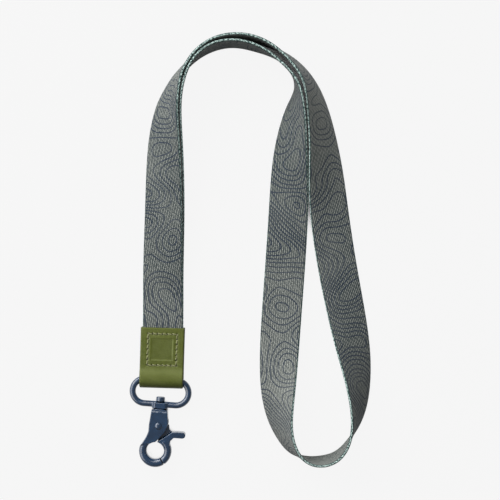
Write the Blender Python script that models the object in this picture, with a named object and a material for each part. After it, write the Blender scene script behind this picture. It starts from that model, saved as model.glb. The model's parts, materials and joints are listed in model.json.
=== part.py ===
"""A neck lanyard lying on a table: webbing loop, stitched leather tab, swivel ring and trigger hook.

Units are metres. +Z points up from the table, +Y runs up the strap away from the hook.
The origin is on the table under the middle of the whole lay.
"""

import math

import bmesh
import bpy
import numpy as np
from mathutils import Vector

MM = 0.001

# Webbing strap
STRAP_WIDTH = 20.0 * MM
STRAP_THICKNESS = 1.4 * MM
STRAP_STEP = 4.0 * MM            # spacing of the cross sections along the strap
LAYER_GAP = 0.4 * MM             # air between the two layers where they lie together
SEWN_GAP = 0.3 * MM              # air between the two layers, and to the leather, inside the tab

# Leather tab, folded round the ring's bar
LEATHER_THICKNESS = 1.2 * MM
TAB_WIDTH = 21.6 * MM
TAB_LENGTH = 25.9 * MM           # from the bar's axis to the open end
SEWN_START = 6.6 * MM            # where the leather is pressed flat on the strap, above the bar's axis
STRAP_END = 5.0 * MM             # where the strap's ends stop, above the bar's axis
BAR_ROOM = 0.35 * MM             # room round the ring's end arcs as they swing inside the fold
PANEL_SIDE = 10.6 * MM           # pressed square on the front
PANEL_DEPTH = 0.25 * MM

# Stitching: one row round a square, on the front and on the back
STITCH_WIDTH = 14.3 * MM
STITCH_HEIGHT = 15.5 * MM
STITCH_TOP_MARGIN = 3.0 * MM     # from the tab's open end to the upper row
STITCH_COUNT = 6                 # stitches along each side of the square
THREAD_DIAMETER = 0.55 * MM
THREAD_GAP = 0.15 * MM           # thread to the walls of its channel

# Ring with its boss
RING_WIRE = 2.8 * MM
RING_INNER_WIDTH = 25.0 * MM
RING_BAR_SPACING = 12.3 * MM     # between the axes of the two straight bars
RING_TILT = math.radians(-2.5)   # how far the ring and hook hang askew in the lay
BOSS_WIDTH = 7.8 * MM
BOSS_LENGTH = 2.9 * MM           # along the swivel axis
BOSS_DROP = 0.4 * MM             # the boss hangs this far below the bar's axis
BOSS_SHIFT = 0.25 * MM           # and this far to the right of the bar's middle
BOSS_THICKNESS = 5.4 * MM
BOSS_CHAMFER = 1.3 * MM

# Swivel post
POST_DIAMETER = 2.4 * MM
POST_HEAD_DIAMETER = 4.4 * MM
POST_HEAD_HEIGHT = 2.2 * MM
POST_DEPTH = 3.4 * MM            # how far the post goes into the hook body
RUNNING_GAP = 0.2 * MM           # clearance of turning parts

# Trigger hook, measured from the middle of the ring's boss
HOOK_GAP = 0.3 * MM              # between the boss and the hook body's collar
COLLAR_DIAMETER = 6.4 * MM
COLLAR_HEIGHT = 0.45 * MM
BODY_THICKNESS = 5.8 * MM
BODY_TOP_WIDTH = 8.0 * MM
BODY_WIDTH = 9.5 * MM            # across the cheeks at the rivet
BODY_EDGE_ROUND = 0.55 * MM
BODY_LENGTH = 15.9 * MM          # from the body's top to the top of the eye's hole
CHEEK_THICKNESS = 1.0 * MM
CHEEK_WALL = 1.2 * MM            # closed left side of the slot
EYE_OUTER_RADIUS = 8.05 * MM
EYE_HOLE_RADIUS = 4.33 * MM
EYE_OFFSET = -0.7 * MM           # the hole sits a little to the left of the swivel axis
EYE_BOTTOM_EXTRA = 0.25 * MM     # the hook is thicker at the bottom, where it wears
EYE_THICKNESS = 5.2 * MM
EYE_EDGE_ROUND = 1.6 * MM
SEAM_ANGLE = math.radians(-54.0)         # where the gate meets the hook's tip, seen from the hole's middle
SEAM_GAP = 0.4 * MM
EYE_START_ANGLE = math.radians(112.0)    # where the eye's round section leaves the body
EYE_FULL_ANGLE = math.radians(168.0)     # where it has grown to its full width
EYE_START_WALL = 2.0 * MM                # how wide it starts
GATE_END_ANGLE = math.radians(52.0)      # how far up the gate carries that section
RIVET_DROP = 7.7 * MM            # from the body's top to the rivet
NECK_DROP = 3.0 * MM             # from the rivet to where the body's left side sweeps out into the eye
NECK_FLARE = 0.7 * MM            # how far that sweep bulges beyond the body's side
RIVET_DIAMETER = 2.0 * MM
RIVET_HEAD_DIAMETER = 3.2 * MM
RIVET_HEAD_HEIGHT = 0.7 * MM
RIVET_GAP = 0.15 * MM

# Trigger
TONGUE_THICKNESS = 1.2 * MM
TONGUE_RIM = 1.0 * MM            # tongue left round the rivet
THUMB_REACH = 13.7 * MM          # from the swivel axis to the end of the thumb piece
THUMB_THICKNESS = 3.0 * MM
THUMB_RISE = 8.45 * MM           # from the hole's middle up to the thumb piece
WEDGE_OPENING = 1.5 * MM         # widest part of the gap between the body and the trigger
WEDGE_START = 1.4 * MM           # the body's edge bends away from the trigger this far above the rivet
WEDGE_BEND = 2.6 * MM            # and aims at a corner this far below it
GATE_INSET = 0.15 * MM           # the trigger's flat part is this much thinner than the eye on each face
SPRING_WIRE = 0.3 * MM
SPRING_RADIUS = 1.75 * MM
SPRING_TURNS = 2
SPRING_PITCH = 0.75 * MM
SPRING_WALL_LEG = 2.7 * MM
SPRING_TRIGGER_LEG = 4.0 * MM

# The lay on the table
LAY_WIDTH = 99.0 * MM            # between the strap's leftmost and rightmost stations
LAY_LENGTH = 207.0 * MM          # between its lowest and highest stations

# Stations of the strap as drawn on a grid that is stretched to the lay's width and length: x, y, lean of
# the strap's width from upright in degrees, and how many layers of strap lie under it. The route starts
# and ends at the mouth of the leather tab.
STRAP_ROUTE = [
    (-44.7, -17.2, 85, 1), (-45.4, 22.8, 70, 1), (-45.9, 52.8, 55, 1), (-44.6, 72.3, 35, 1),
    (-40.2, 86.8, 16, 0.5), (-33.6, 96.6, 5, 0), (-23.5, 104.1, 0, 0), (-10.0, 107.0, 0, 0),
    (3.5, 104.2, 4, 0), (15.0, 97.4, 13, 0), (23.6, 87.8, 20, 0), (28.9, 73.8, 33.5, 0),
    (32.8, 54.5, 49, 0), (36.0, 29.3, 72, 0), (43.2, -11.2, 78, 0), (50.0, -42.2, 62, 0),
    (53.1, -61.2, 41, 0), (53.0, -78.2, 21, 0), (49.2, -90.2, 5, 0), (43.8, -97.0, -1, 0),
    (35.5, -100.0, -3, 0), (28.3, -99.2, 3, 0), (22.8, -95.8, 13, 0), (18.2, -88.8, 23, 0),
    (14.6, -74.2, 45, 0), (13.9, -54.2, 68, 0), (15.1, -19.2, 84, 0), (16.5, 27.8, 73, 0),
    (16.8, 54.8, 49, 0), (18.5, 74.3, 22, 0), (18.1, 85.8, -1, 0), (10.8, 95.6, -9, 0),
    (-1.4, 101.9, -1.5, 0), (-13.0, 104.0, 0, 0), (-24.2, 101.5, 0, 0), (-32.8, 94.9, -5, 0),
    (-39.0, 84.4, -17, 0), (-42.8, 72.8, -34, 0), (-44.4, 52.8, -54, 0), (-44.3, 22.8, -70, 0),
    (-44.5, -17.2, -86, 0),
]
BAR_STATION = (-44.0, -62.8)     # the ring's bar on the same grid

# Sizes that follow from the ones above
GRID_X = LAY_WIDTH / (max(row[0] for row in STRAP_ROUTE) - min(row[0] for row in STRAP_ROUTE))
GRID_Y = LAY_LENGTH / (max(row[1] for row in STRAP_ROUTE) - min(row[1] for row in STRAP_ROUTE))
TAB_X = BAR_STATION[0] * GRID_X
BAR_Y = BAR_STATION[1] * GRID_Y
RING_END_RADIUS = RING_BAR_SPACING / 2
RING_STRAIGHT_HALF = RING_INNER_WIDTH / 2 + RING_WIRE / 2 - RING_END_RADIUS
END_ARC_DROP = RING_END_RADIUS - math.sqrt(
    RING_END_RADIUS**2 - max(TAB_WIDTH / 2 - RING_STRAIGHT_HALF, 0.0) ** 2)
SEWN_HALF = STRAP_THICKNESS + 1.5 * SEWN_GAP
FOLD_HALF = max(RING_WIRE / 2 + END_ARC_DROP + BAR_ROOM, SEWN_HALF)
FOLD_DROP = RING_WIRE / 2 + END_ARC_DROP + TAB_WIDTH / 2 * math.sin(abs(RING_TILT)) + BAR_ROOM
MID_Z = FOLD_HALF + LEATHER_THICKNESS
BODY_TOP = -BOSS_LENGTH / 2 - HOOK_GAP - COLLAR_HEIGHT
RIVET_Y = BODY_TOP - RIVET_DROP
HOLE_Y = BODY_TOP - BODY_LENGTH - EYE_HOLE_RADIUS
SLOT_HALF = BODY_THICKNESS / 2 - CHEEK_THICKNESS
HEAD_SEAT = max(BOSS_LENGTH / 2, BOSS_DROP + RING_WIRE / 2) + RUNNING_GAP


def clear_scene():
    """Empty the scene."""
    for obj in list(bpy.data.objects):
        bpy.data.objects.remove(obj, do_unlink=True)


def finish(name, colour, roughness, metallic):
    """Make one Principled material."""
    material = bpy.data.materials.new(name)
    material.use_nodes = True
    shader = material.node_tree.nodes["Principled BSDF"]
    shader.inputs["Base Color"].default_value = (*colour, 1.0)
    shader.inputs["Roughness"].default_value = roughness
    shader.inputs["Metallic"].default_value = metallic
    return material


def place(obj, parent=None):
    """Link an object into the scene, under its parent empty."""
    bpy.context.scene.collection.objects.link(obj)
    obj.parent = parent
    return obj


def empty(name, location, parent=None, turn=0.0):
    """An empty that carries pieces, turned about Z."""
    obj = place(bpy.data.objects.new(name, None), parent)
    obj.location = location
    obj.rotation_euler = (0.0, 0.0, turn)
    return obj


def mesh_object(name, bm, material, parent=None, cutter=False):
    """Turn a bmesh into an object with outward faces."""
    bmesh.ops.recalc_face_normals(bm, faces=bm.faces)
    mesh = bpy.data.meshes.new(name)
    bm.to_mesh(mesh)
    bm.free()
    mesh.shade_smooth()
    mesh.set_sharp_from_angle(angle=math.radians(35))
    obj = place(bpy.data.objects.new(name, mesh), parent)
    if material:
        mesh.materials.append(material)
    if cutter:
        obj.hide_render = True
        obj.display_type = "WIRE"
    return obj


def boolean(obj, other, operation):
    """Cut or join another closed solid into this one."""
    modifier = obj.modifiers.new(other.name, "BOOLEAN")
    modifier.operation = operation
    modifier.solver = "EXACT"
    modifier.object = other


def prism(points, low, high, axis="Z"):
    """A closed outline of (a, b) points, extruded along an axis from low to high."""
    def lift(a, b, c):
        return {"X": (c, a, b), "Y": (a, c, b), "Z": (a, b, c)}[axis]
    bm = bmesh.new()
    ends = [[bm.verts.new(lift(a, b, c)) for a, b in points] for c in (low, high)]
    for verts in ends:
        bm.faces.new(verts)
    count = len(points)
    for i in range(count):
        j = (i + 1) % count
        bm.faces.new((ends[0][i], ends[0][j], ends[1][j], ends[1][i]))
    return bm


def arc(centre, radius, start, end, steps):
    """Points on a circular arc from start to end, both included, in radians."""
    return [(centre[0] + radius * math.cos(start + (end - start) * i / steps),
             centre[1] + radius * math.sin(start + (end - start) * i / steps)) for i in range(steps + 1)]


def circle(centre, radius, sides):
    """A closed ring of points."""
    return arc(centre, radius, 0.0, 2 * math.pi * (sides - 1) / sides, sides - 1)


def bend(start, corner, end, steps):
    """Points on a smooth curve from start towards a corner and on to end, both ends included."""
    shares = [i / steps for i in range(steps + 1)]
    return [tuple((1 - t) ** 2 * a + 2 * t * (1 - t) * b + t**2 * c for a, b, c in zip(start, corner, end))
            for t in shares]


def tube(rings, closed):
    """Skin a list of vertex rings into one closed solid."""
    bm = bmesh.new()
    loops = [[bm.verts.new(point) for point in ring] for ring in rings]
    count = len(loops)
    for i in range(count if closed else count - 1):
        near, far = loops[i], loops[(i + 1) % count]
        for j in range(len(near)):
            k = (j + 1) % len(near)
            bm.faces.new((near[j], near[k], far[k], far[j]))
    if not closed:
        bm.faces.new(loops[0])
        bm.faces.new(loops[-1])
    return bm


def round_rings(path, radius, sides, closed):
    """Round vertex rings square to a path of points."""
    path = [Vector(point) for point in path]
    count = len(path)
    rings = []
    across = None
    for i, point in enumerate(path):
        ahead = path[(i + 1) % count] if closed else path[min(i + 1, count - 1)]
        behind = path[i - 1] if closed else path[max(i - 1, 0)]
        along = (ahead - behind).normalized()
        guess = across or (Vector((0, 0, 1)) if abs(along.z) < 0.9 else Vector((1, 0, 0)))
        across = (guess - along * guess.dot(along)).normalized()
        side = along.cross(across)
        rings.append([point + radius * (math.cos(a) * across + math.sin(a) * side)
                      for a in (2 * math.pi * (j + 0.5) / sides for j in range(sides))])
    return rings


def turned(profile, sides):
    """A solid turned about Z from (radius, height) points that start and end on the axis."""
    bm = bmesh.new()
    verts = [bm.verts.new((radius, 0.0, height)) for radius, height in profile]
    edges = [bm.edges.new(pair) for pair in zip(verts[:-1], verts[1:])]
    bmesh.ops.spin(bm, geom=verts + edges, cent=(0, 0, 0), axis=(0, 0, 1), angle=2 * math.pi,
                   steps=sides, use_merge=True)
    bmesh.ops.remove_doubles(bm, verts=bm.verts, dist=1e-7)
    return bm


def strap_stations():
    """Every station of the strap as x, y, lift above the table and lean, in metres and radians."""
    half_step = (STRAP_THICKNESS + SEWN_GAP) / 2
    inside = [BAR_Y + STRAP_END, BAR_Y + (STRAP_END + TAB_LENGTH) / 2, BAR_Y + TAB_LENGTH]
    upper = MID_Z + half_step - STRAP_THICKNESS / 2
    lower = MID_Z - half_step - STRAP_THICKNESS / 2
    layer = STRAP_THICKNESS + LAYER_GAP
    stations = [(TAB_X, y, upper, math.pi / 2) for y in inside]
    for x, y, lean, layers in STRAP_ROUTE:
        angle = math.radians(lean)
        stations.append((x * GRID_X, y * GRID_Y, layers * layer * abs(math.sin(angle)), angle))
    stations += [(TAB_X, y, lower, -math.pi / 2) for y in reversed(inside)]
    return np.array(stations)


def smooth_route(stations):
    """A natural cubic curve through the stations; the lift eases from station to station."""
    steps = np.linalg.norm(np.diff(stations[:, :2], axis=0), axis=1)
    reach = np.concatenate([[0.0], np.cumsum(steps)])
    count = len(stations)
    system = np.eye(count)
    right = np.zeros_like(stations)
    for i in range(1, count - 1):
        system[i, i - 1:i + 2] = steps[i - 1], 2 * (steps[i - 1] + steps[i]), steps[i]
        right[i] = 6 * ((stations[i + 1] - stations[i]) / steps[i]
                        - (stations[i] - stations[i - 1]) / steps[i - 1])
    bend = np.linalg.solve(system, right)
    along = np.linspace(0.0, reach[-1], round(reach[-1] / STRAP_STEP) + 1)
    at = np.clip(np.searchsorted(reach, along) - 1, 0, count - 2)
    b = ((along - reach[at]) / steps[at])[:, None]
    a = 1 - b
    curve = (a * stations[at] + b * stations[at + 1]
             + ((a**3 - a) * bend[at] + (b**3 - b) * bend[at + 1]) * steps[at][:, None] ** 2 / 6)
    ease = b[:, 0] ** 2 * (3 - 2 * b[:, 0])
    curve[:, 2] = stations[at, 2] + (stations[at + 1, 2] - stations[at, 2]) * ease
    return curve


def webbing_strap(material):
    """The webbing: one ribbon from the tab, round the neck loop and back into the tab."""
    curve = smooth_route(strap_stations())
    lean = curve[:, 3:]
    centre = curve[:, :3].copy()
    centre[:, 2:] += STRAP_THICKNESS / 2 * np.abs(np.sin(lean)) + STRAP_WIDTH / 2 * np.cos(lean)
    along = np.gradient(centre, axis=0)
    along /= np.linalg.norm(along, axis=1)[:, None]
    right = np.stack([along[:, 1], -along[:, 0], 0 * along[:, 0]], axis=1)
    right /= np.linalg.norm(right, axis=1)[:, None]
    across = np.cos(lean) * np.array([0.0, 0.0, 1.0]) + np.sin(lean) * right
    across -= (across * along).sum(axis=1)[:, None] * along
    across /= np.linalg.norm(across, axis=1)[:, None]
    face = np.cross(across, along)
    corners = [(0.5, 0.5), (0.5, -0.5), (-0.5, -0.5), (-0.5, 0.5)]
    rings = [[tuple(c + STRAP_WIDTH * u * w + STRAP_THICKNESS * v * n) for u, v in corners]
             for c, w, n in zip(centre, across, face)]
    return mesh_object("webbing_strap", tube(rings, closed=False), material)


def fold_profile(inset):
    """The folded leather's side view as (y, z) points, from the front end round the bar to the back end."""
    sewn = SEWN_HALF + inset
    fold = FOLD_HALF + inset
    drop = FOLD_DROP + inset
    front = [(TAB_LENGTH, sewn), (SEWN_START, sewn), (0.62 * SEWN_START, (sewn + 2 * fold) / 3),
             (0.3 * SEWN_START, fold)]
    round_end = [(-drop * math.sin(a), fold * math.cos(a)) for a in (math.pi * i / 16 for i in range(17))]
    return front + round_end + [(y, -z) for y, z in reversed(front)]


def stitch_square(grow=0.0):
    """Corners of the stitched square, grown outwards, as (x, y) from the bar's axis."""
    top = TAB_LENGTH - STITCH_TOP_MARGIN + grow
    low = TAB_LENGTH - STITCH_TOP_MARGIN - STITCH_HEIGHT - grow
    half = STITCH_WIDTH / 2 + grow
    return [(-half, low), (half, low), (half, top), (-half, top)]


def channel(name, low, high, parent):
    """Cutter for the square channel that a row of stitching lies in."""
    half = THREAD_DIAMETER / 2 + THREAD_GAP
    outer, inner = stitch_square(half), stitch_square(-half)
    bm = bmesh.new()
    rings = [[bm.verts.new((x, y, z)) for x, y in square] for square in (outer, inner) for z in (low, high)]
    outer_low, outer_high, inner_low, inner_high = rings
    for i in range(4):
        j = (i + 1) % 4
        bm.faces.new((outer_low[i], outer_low[j], outer_high[j], outer_high[i]))
        bm.faces.new((inner_low[j], inner_low[i], inner_high[i], inner_high[j]))
        bm.faces.new((outer_high[i], outer_high[j], inner_high[j], inner_high[i]))
        bm.faces.new((outer_low[j], outer_low[i], inner_low[i], inner_low[j]))
    return mesh_object(name, bm, None, parent, cutter=True)


def leather_tab(material, parent):
    """One strip of leather folded round the ring's bar over the strap's two ends."""
    outline = fold_profile(LEATHER_THICKNESS) + list(reversed(fold_profile(0.0)))
    tab = mesh_object("leather_tab", prism(outline, -TAB_WIDTH / 2, TAB_WIDTH / 2, "X"), material, parent)
    surface = SEWN_HALF + LEATHER_THICKNESS
    depth = THREAD_DIAMETER + THREAD_GAP
    above = LEATHER_THICKNESS
    boolean(tab, channel("front_channel", surface - depth, surface + above, parent), "DIFFERENCE")
    boolean(tab, channel("back_channel", -surface - above, -surface + depth, parent), "DIFFERENCE")
    middle = TAB_LENGTH - STITCH_TOP_MARGIN - STITCH_HEIGHT / 2
    half = PANEL_SIDE / 2
    square = [(-half, middle - half), (half, middle - half), (half, middle + half), (-half, middle + half)]
    panel = mesh_object("pressed_panel", prism(square, surface - PANEL_DEPTH, surface + above), None,
                        parent, cutter=True)
    boolean(tab, panel, "DIFFERENCE")
    return tab


def stitch_thread(name, side, material, parent):
    """One thread that waves in and out of its channel, all round the stitched square."""
    corners = stitch_square()
    surface = SEWN_HALF + LEATHER_THICKNESS
    deep = surface - THREAD_DIAMETER / 2
    rise = 0.3 * THREAD_DIAMETER
    samples = 4
    path = []
    for i in range(4):
        (x0, y0), (x1, y1) = corners[i], corners[(i + 1) % 4]
        for k in range(STITCH_COUNT * samples):
            t = k / (STITCH_COUNT * samples)
            wave = rise * 0.5 * (1 - math.cos(2 * math.pi * STITCH_COUNT * t))
            path.append((x0 + (x1 - x0) * t, y0 + (y1 - y0) * t, side * (deep + wave)))
    rings = round_rings(path, THREAD_DIAMETER / 2, 4, closed=True)
    return mesh_object(name, tube(rings, closed=True), material, parent)


def swivel_ring(material, parent):
    """Oblong wire ring with a boss on its lower bar; the boss is bored for the swivel post."""
    half, radius, drop = RING_STRAIGHT_HALF, RING_END_RADIUS, -RING_END_RADIUS
    right = arc((half, drop), radius, math.pi / 2, -math.pi / 2, 10)
    left = arc((-half, drop), radius, -math.pi / 2, -3 * math.pi / 2, 10)
    path = [(x, y, 0.0) for x, y in right + left]
    wire = tube(round_rings(path, RING_WIRE / 2, 12, closed=True), closed=True)
    ring = mesh_object("swivel_ring", wire, material, parent)
    w, t, c = BOSS_WIDTH / 2, BOSS_THICKNESS / 2, BOSS_CHAMFER
    octagon = [(w - c, -t), (w, c - t), (w, t - c), (w - c, t),
               (c - w, t), (-w, t - c), (-w, c - t), (c - w, -t)]
    octagon = [(BOSS_SHIFT + x, z) for x, z in octagon]
    low = -RING_BAR_SPACING - BOSS_DROP - BOSS_LENGTH / 2
    boss = mesh_object("ring_boss", prism(octagon, low, low + BOSS_LENGTH, "Y"), None, parent, cutter=True)
    bore_radius = POST_DIAMETER / 2 + RUNNING_GAP
    bore_ring = circle((BOSS_SHIFT, 0.0), bore_radius, 16)
    bore = mesh_object("boss_bore", prism(bore_ring, low - RING_WIRE, low + BOSS_LENGTH + RING_WIRE, "Y"),
                       None, parent, cutter=True)
    boolean(ring, boss, "UNION")
    boolean(ring, bore, "DIFFERENCE")
    return ring


def swivel_post(material, parent):
    """Headed post through the ring's boss, riveted into the hook body."""
    seat = HEAD_SEAT
    head, shank, crown = POST_HEAD_DIAMETER / 2, POST_DIAMETER / 2, seat + POST_HEAD_HEIGHT
    edge = 0.2 * POST_HEAD_HEIGHT
    profile = [(0.0, crown), (head - edge, crown), (head, crown - edge), (head, seat), (shank, seat),
               (shank, BODY_TOP - POST_DEPTH), (0.0, BODY_TOP - POST_DEPTH)]
    post = mesh_object("swivel_post", turned(profile, 16), material, parent)
    post.rotation_euler = (-math.pi / 2, 0.0, 0.0)
    return post


def at_hole(degrees, radius, rise=0.0):
    """A point at an angle round the eye's hole, as (x, y) from the boss's middle."""
    angle = math.radians(degrees)
    return (EYE_OFFSET + radius * math.cos(angle), HOLE_Y + rise + radius * math.sin(angle))


def body_outline():
    """Front view of the hook body, without its eye, as (x, y) points from the boss's middle."""
    top, half = BODY_TOP_WIDTH / 2, BODY_WIDTH / 2
    middle = 0.5 * (EYE_HOLE_RADIUS + EYE_OUTER_RADIUS)
    apex = at_hole(93, EYE_HOLE_RADIUS)
    neck = at_hole(165, EYE_OUTER_RADIUS, -EYE_BOTTOM_EXTRA)
    wedge_side = bend((half, RIVET_Y + WEDGE_START), (0.93 * half, RIVET_Y - WEDGE_BEND), apex, 6)
    hole_side = [at_hole(110, EYE_HOLE_RADIUS), at_hole(130, EYE_HOLE_RADIUS), at_hole(148, middle)]
    neck_side = bend(neck, (-half - NECK_FLARE, HOLE_Y + middle), (-half, RIVET_Y - NECK_DROP), 6)
    return [(top, BODY_TOP)] + wedge_side + hole_side + neck_side + [(-half, RIVET_Y), (-top, BODY_TOP)]


def eye_section(degrees, share):
    """Rounded section of the eye at an angle round its hole, at a share of its full width beyond its start,
    as 3-D points from the boss's middle."""
    inner = Vector(at_hole(degrees, EYE_HOLE_RADIUS))
    outer = Vector(at_hole(degrees, EYE_OUTER_RADIUS, -EYE_BOTTOM_EXTRA))
    wall = (outer - inner).length
    outer = inner.lerp(outer, share + (1 - share) * EYE_START_WALL / wall)
    wall = (outer - inner).length
    half, edge = EYE_THICKNESS / 2, min(EYE_EDGE_ROUND, 0.45 * wall)
    upper = arc((wall - edge, half - edge), edge, 0.0, math.pi / 2, 2)
    upper += arc((edge, half - edge), edge, math.pi / 2, math.pi, 2)
    points = upper + [(depth, -height) for depth, height in reversed(upper)]
    return [(*inner.lerp(outer, depth / wall), height) for depth, height in points]


def eye_arc(start, full, end, steps):
    """Part of the eye, swept round its hole from start to end, at its full width from full on, in degrees."""
    rings = []
    for i in range(steps + 1):
        degrees = start + (end - start) * i / steps
        share = min((degrees - start) / (full - start), 1.0) if full > start else 1.0
        rings.append(eye_section(degrees, share))
    return tube(rings, closed=False)


def hook_body(material, parent):
    """Cast body: two cheeks with a slot for the trigger, and the fixed part of the eye."""
    plate = prism(body_outline(), -BODY_THICKNESS / 2, BODY_THICKNESS / 2)
    body = mesh_object("hook_body", plate, material, parent)
    rounding = body.modifiers.new("cast_edges", "BEVEL")
    rounding.width = BODY_EDGE_ROUND
    rounding.segments = 2
    rounding.limit_method = "ANGLE"
    rounding.angle_limit = math.radians(50)
    far = 2 * BODY_THICKNESS
    seam = math.degrees(SEAM_ANGLE)
    start, full = math.degrees(EYE_START_ANGLE), math.degrees(EYE_FULL_ANGLE)
    hook = mesh_object("hook_curve", eye_arc(start, full, 360 + seam, 24), None, parent, cutter=True)
    boolean(body, hook, "UNION")
    collar_ring = circle((0.0, 0.0), COLLAR_DIAMETER / 2, 20)
    collar = prism(collar_ring, BODY_TOP - CHEEK_WALL, BODY_TOP + COLLAR_HEIGHT, "Y")
    collar = mesh_object("neck_collar", collar, None, parent, cutter=True)
    boolean(body, collar, "UNION")
    hole_ring = circle((EYE_OFFSET, HOLE_Y), EYE_HOLE_RADIUS, 24)
    hole = mesh_object("eye_hole", prism(hole_ring, -far, far), None, parent, cutter=True)
    boolean(body, hole, "DIFFERENCE")
    slot_top = BODY_TOP - POST_DEPTH - CHEEK_WALL
    left = CHEEK_WALL - BODY_WIDTH / 2
    slot_outline = [(left, slot_top), (BODY_WIDTH, slot_top), (BODY_WIDTH, HOLE_Y), (EYE_OFFSET, HOLE_Y),
                    at_hole(98, EYE_HOLE_RADIUS), (left, RIVET_Y - SPRING_RADIUS - CHEEK_WALL)]
    slot = mesh_object("trigger_slot", prism(slot_outline, -SLOT_HALF, SLOT_HALF), None, parent, cutter=True)
    boolean(body, slot, "DIFFERENCE")
    bore_ring = circle((0.0, RIVET_Y), RIVET_DIAMETER / 2 + RIVET_GAP, 16)
    bore = mesh_object("rivet_bore", prism(bore_ring, -far, far), None, parent, cutter=True)
    boolean(body, bore, "DIFFERENCE")
    socket_ring = circle((0.0, 0.0), POST_DIAMETER / 2 + RIVET_GAP, 16)
    socket_low = BODY_TOP - POST_DEPTH - 2 * RIVET_GAP
    socket = mesh_object("post_socket", prism(socket_ring, socket_low, BODY_TOP + POST_DEPTH, "Y"),
                         None, parent, cutter=True)
    boolean(body, socket, "DIFFERENCE")
    return body


def pivot_rivet(material, parent):
    """Domed rivet through both cheeks and the trigger."""
    seat = BODY_THICKNESS / 2 + RIVET_GAP
    crown, head, shank = seat + RIVET_HEAD_HEIGHT, RIVET_HEAD_DIAMETER / 2, RIVET_DIAMETER / 2
    upper = [(0.0, crown), (0.6 * head, crown - 0.25 * RIVET_HEAD_HEIGHT), (head, seat), (shank, seat)]
    profile = upper + [(radius, -height) for radius, height in reversed(upper)]
    return mesh_object("pivot_rivet", turned(profile, 16), material, parent)


def gate_lever(material, parent):
    """Trigger: a tongue in the slot, the thumb piece, and the gate that closes the eye."""
    # The gate carries the eye's own section on from the seam to the thumb piece
    seam = math.degrees(SEAM_ANGLE + 2 * SEAM_GAP / (EYE_HOLE_RADIUS + EYE_OUTER_RADIUS))
    lever = mesh_object("gate_lever", eye_arc(seam, seam, math.degrees(GATE_END_ANGLE), 10), material, parent)
    lever.location = (0.0, -RIVET_Y, 0.0)
    # The thumb piece fills the corner over the gate and reaches out to the right
    half = THUMB_THICKNESS / 2
    thumb_y = HOLE_Y + THUMB_RISE
    root_x = EYE_OFFSET + EYE_OUTER_RADIUS
    tip = at_hole(84, EYE_HOLE_RADIUS)
    edge_top = (root_x - 0.3 * half, thumb_y + 0.8 * half)
    outline = [tip] + [at_hole(degrees, EYE_HOLE_RADIUS) for degrees in (66, 50, 30, 12)]
    outline += [at_hole(14, EYE_OUTER_RADIUS - EYE_EDGE_ROUND, -EYE_BOTTOM_EXTRA),
                at_hole(30, EYE_OUTER_RADIUS, -EYE_BOTTOM_EXTRA), (root_x - 0.6 * half, thumb_y - 2.1 * half),
                (root_x + 0.4 * half, thumb_y - half)]
    outline += arc((THUMB_REACH - half, thumb_y), half, -math.pi / 2, math.pi / 2, 6)
    outline += [(root_x + half, thumb_y + half), edge_top]
    high = EYE_THICKNESS / 2 - GATE_INSET
    thumb = mesh_object("thumb_piece", prism(outline, -high, high), None, lever, cutter=True)
    boolean(lever, thumb, "UNION")
    # The tongue runs up inside the slot to the rivet
    rim = RIVET_DIAMETER / 2 + TONGUE_RIM
    near_hole = EYE_HOLE_RADIUS + 0.3 * WEDGE_OPENING
    tongue_outline = arc((0.0, RIVET_Y), rim, math.radians(60), math.radians(205), 8)
    tongue_outline += [at_hole(88, near_hole + WEDGE_OPENING), at_hole(78, near_hole), at_hole(64, near_hole),
                       at_hole(36, near_hole + WEDGE_OPENING),
                       (edge_top[0] - half, edge_top[1] - half), edge_top,
                       (BODY_WIDTH / 2 + WEDGE_OPENING / 2, RIVET_Y - rim),
                       (BODY_WIDTH / 2 + WEDGE_OPENING / 4, RIVET_Y + 0.2 * rim)]
    low = RUNNING_GAP - SLOT_HALF
    tongue = mesh_object("trigger_tongue", prism(tongue_outline, low, low + TONGUE_THICKNESS), None, lever,
                         cutter=True)
    boolean(lever, tongue, "UNION")
    bore_ring = circle((0.0, RIVET_Y), RIVET_DIAMETER / 2 + RIVET_GAP, 16)
    bore = mesh_object("trigger_bore", prism(bore_ring, -BODY_THICKNESS, BODY_THICKNESS), None, lever,
                       cutter=True)
    boolean(lever, bore, "DIFFERENCE")
    return lever


def gate_spring(material, parent):
    """Torsion spring round the rivet: one leg by the body's wall, one over the trigger's shoulder."""
    first, last = math.radians(120), math.radians(40) - 2 * math.pi * SPRING_TURNS
    sweep = first - last
    top = SLOT_HALF - RUNNING_GAP - SPRING_WIRE / 2
    count = round(12 * sweep / (2 * math.pi))
    path = []
    for i in range(count + 1):
        a = first - sweep * i / count
        z = top - SPRING_PITCH * sweep / (2 * math.pi) * i / count
        path.append(Vector((SPRING_RADIUS * math.cos(a), SPRING_RADIUS * math.sin(a), z)))
    wall_leg = path[0] + SPRING_WALL_LEG * Vector((-math.sin(first), math.cos(first), 0.0))
    trigger_leg = path[-1] + SPRING_TRIGGER_LEG * Vector((math.sin(last), -math.cos(last), 0.0))
    path = [wall_leg] + path + [trigger_leg]
    gaps = [(p - q).length for i, p in enumerate(path) for q in path[i + 6:]]
    print("gate_spring least gap to itself: %.2f mm" % ((min(gaps) - SPRING_WIRE) / MM))
    wire = tube(round_rings(path, SPRING_WIRE / 2, 6, closed=False), closed=False)
    return mesh_object("gate_spring", wire, material, parent)


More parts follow.
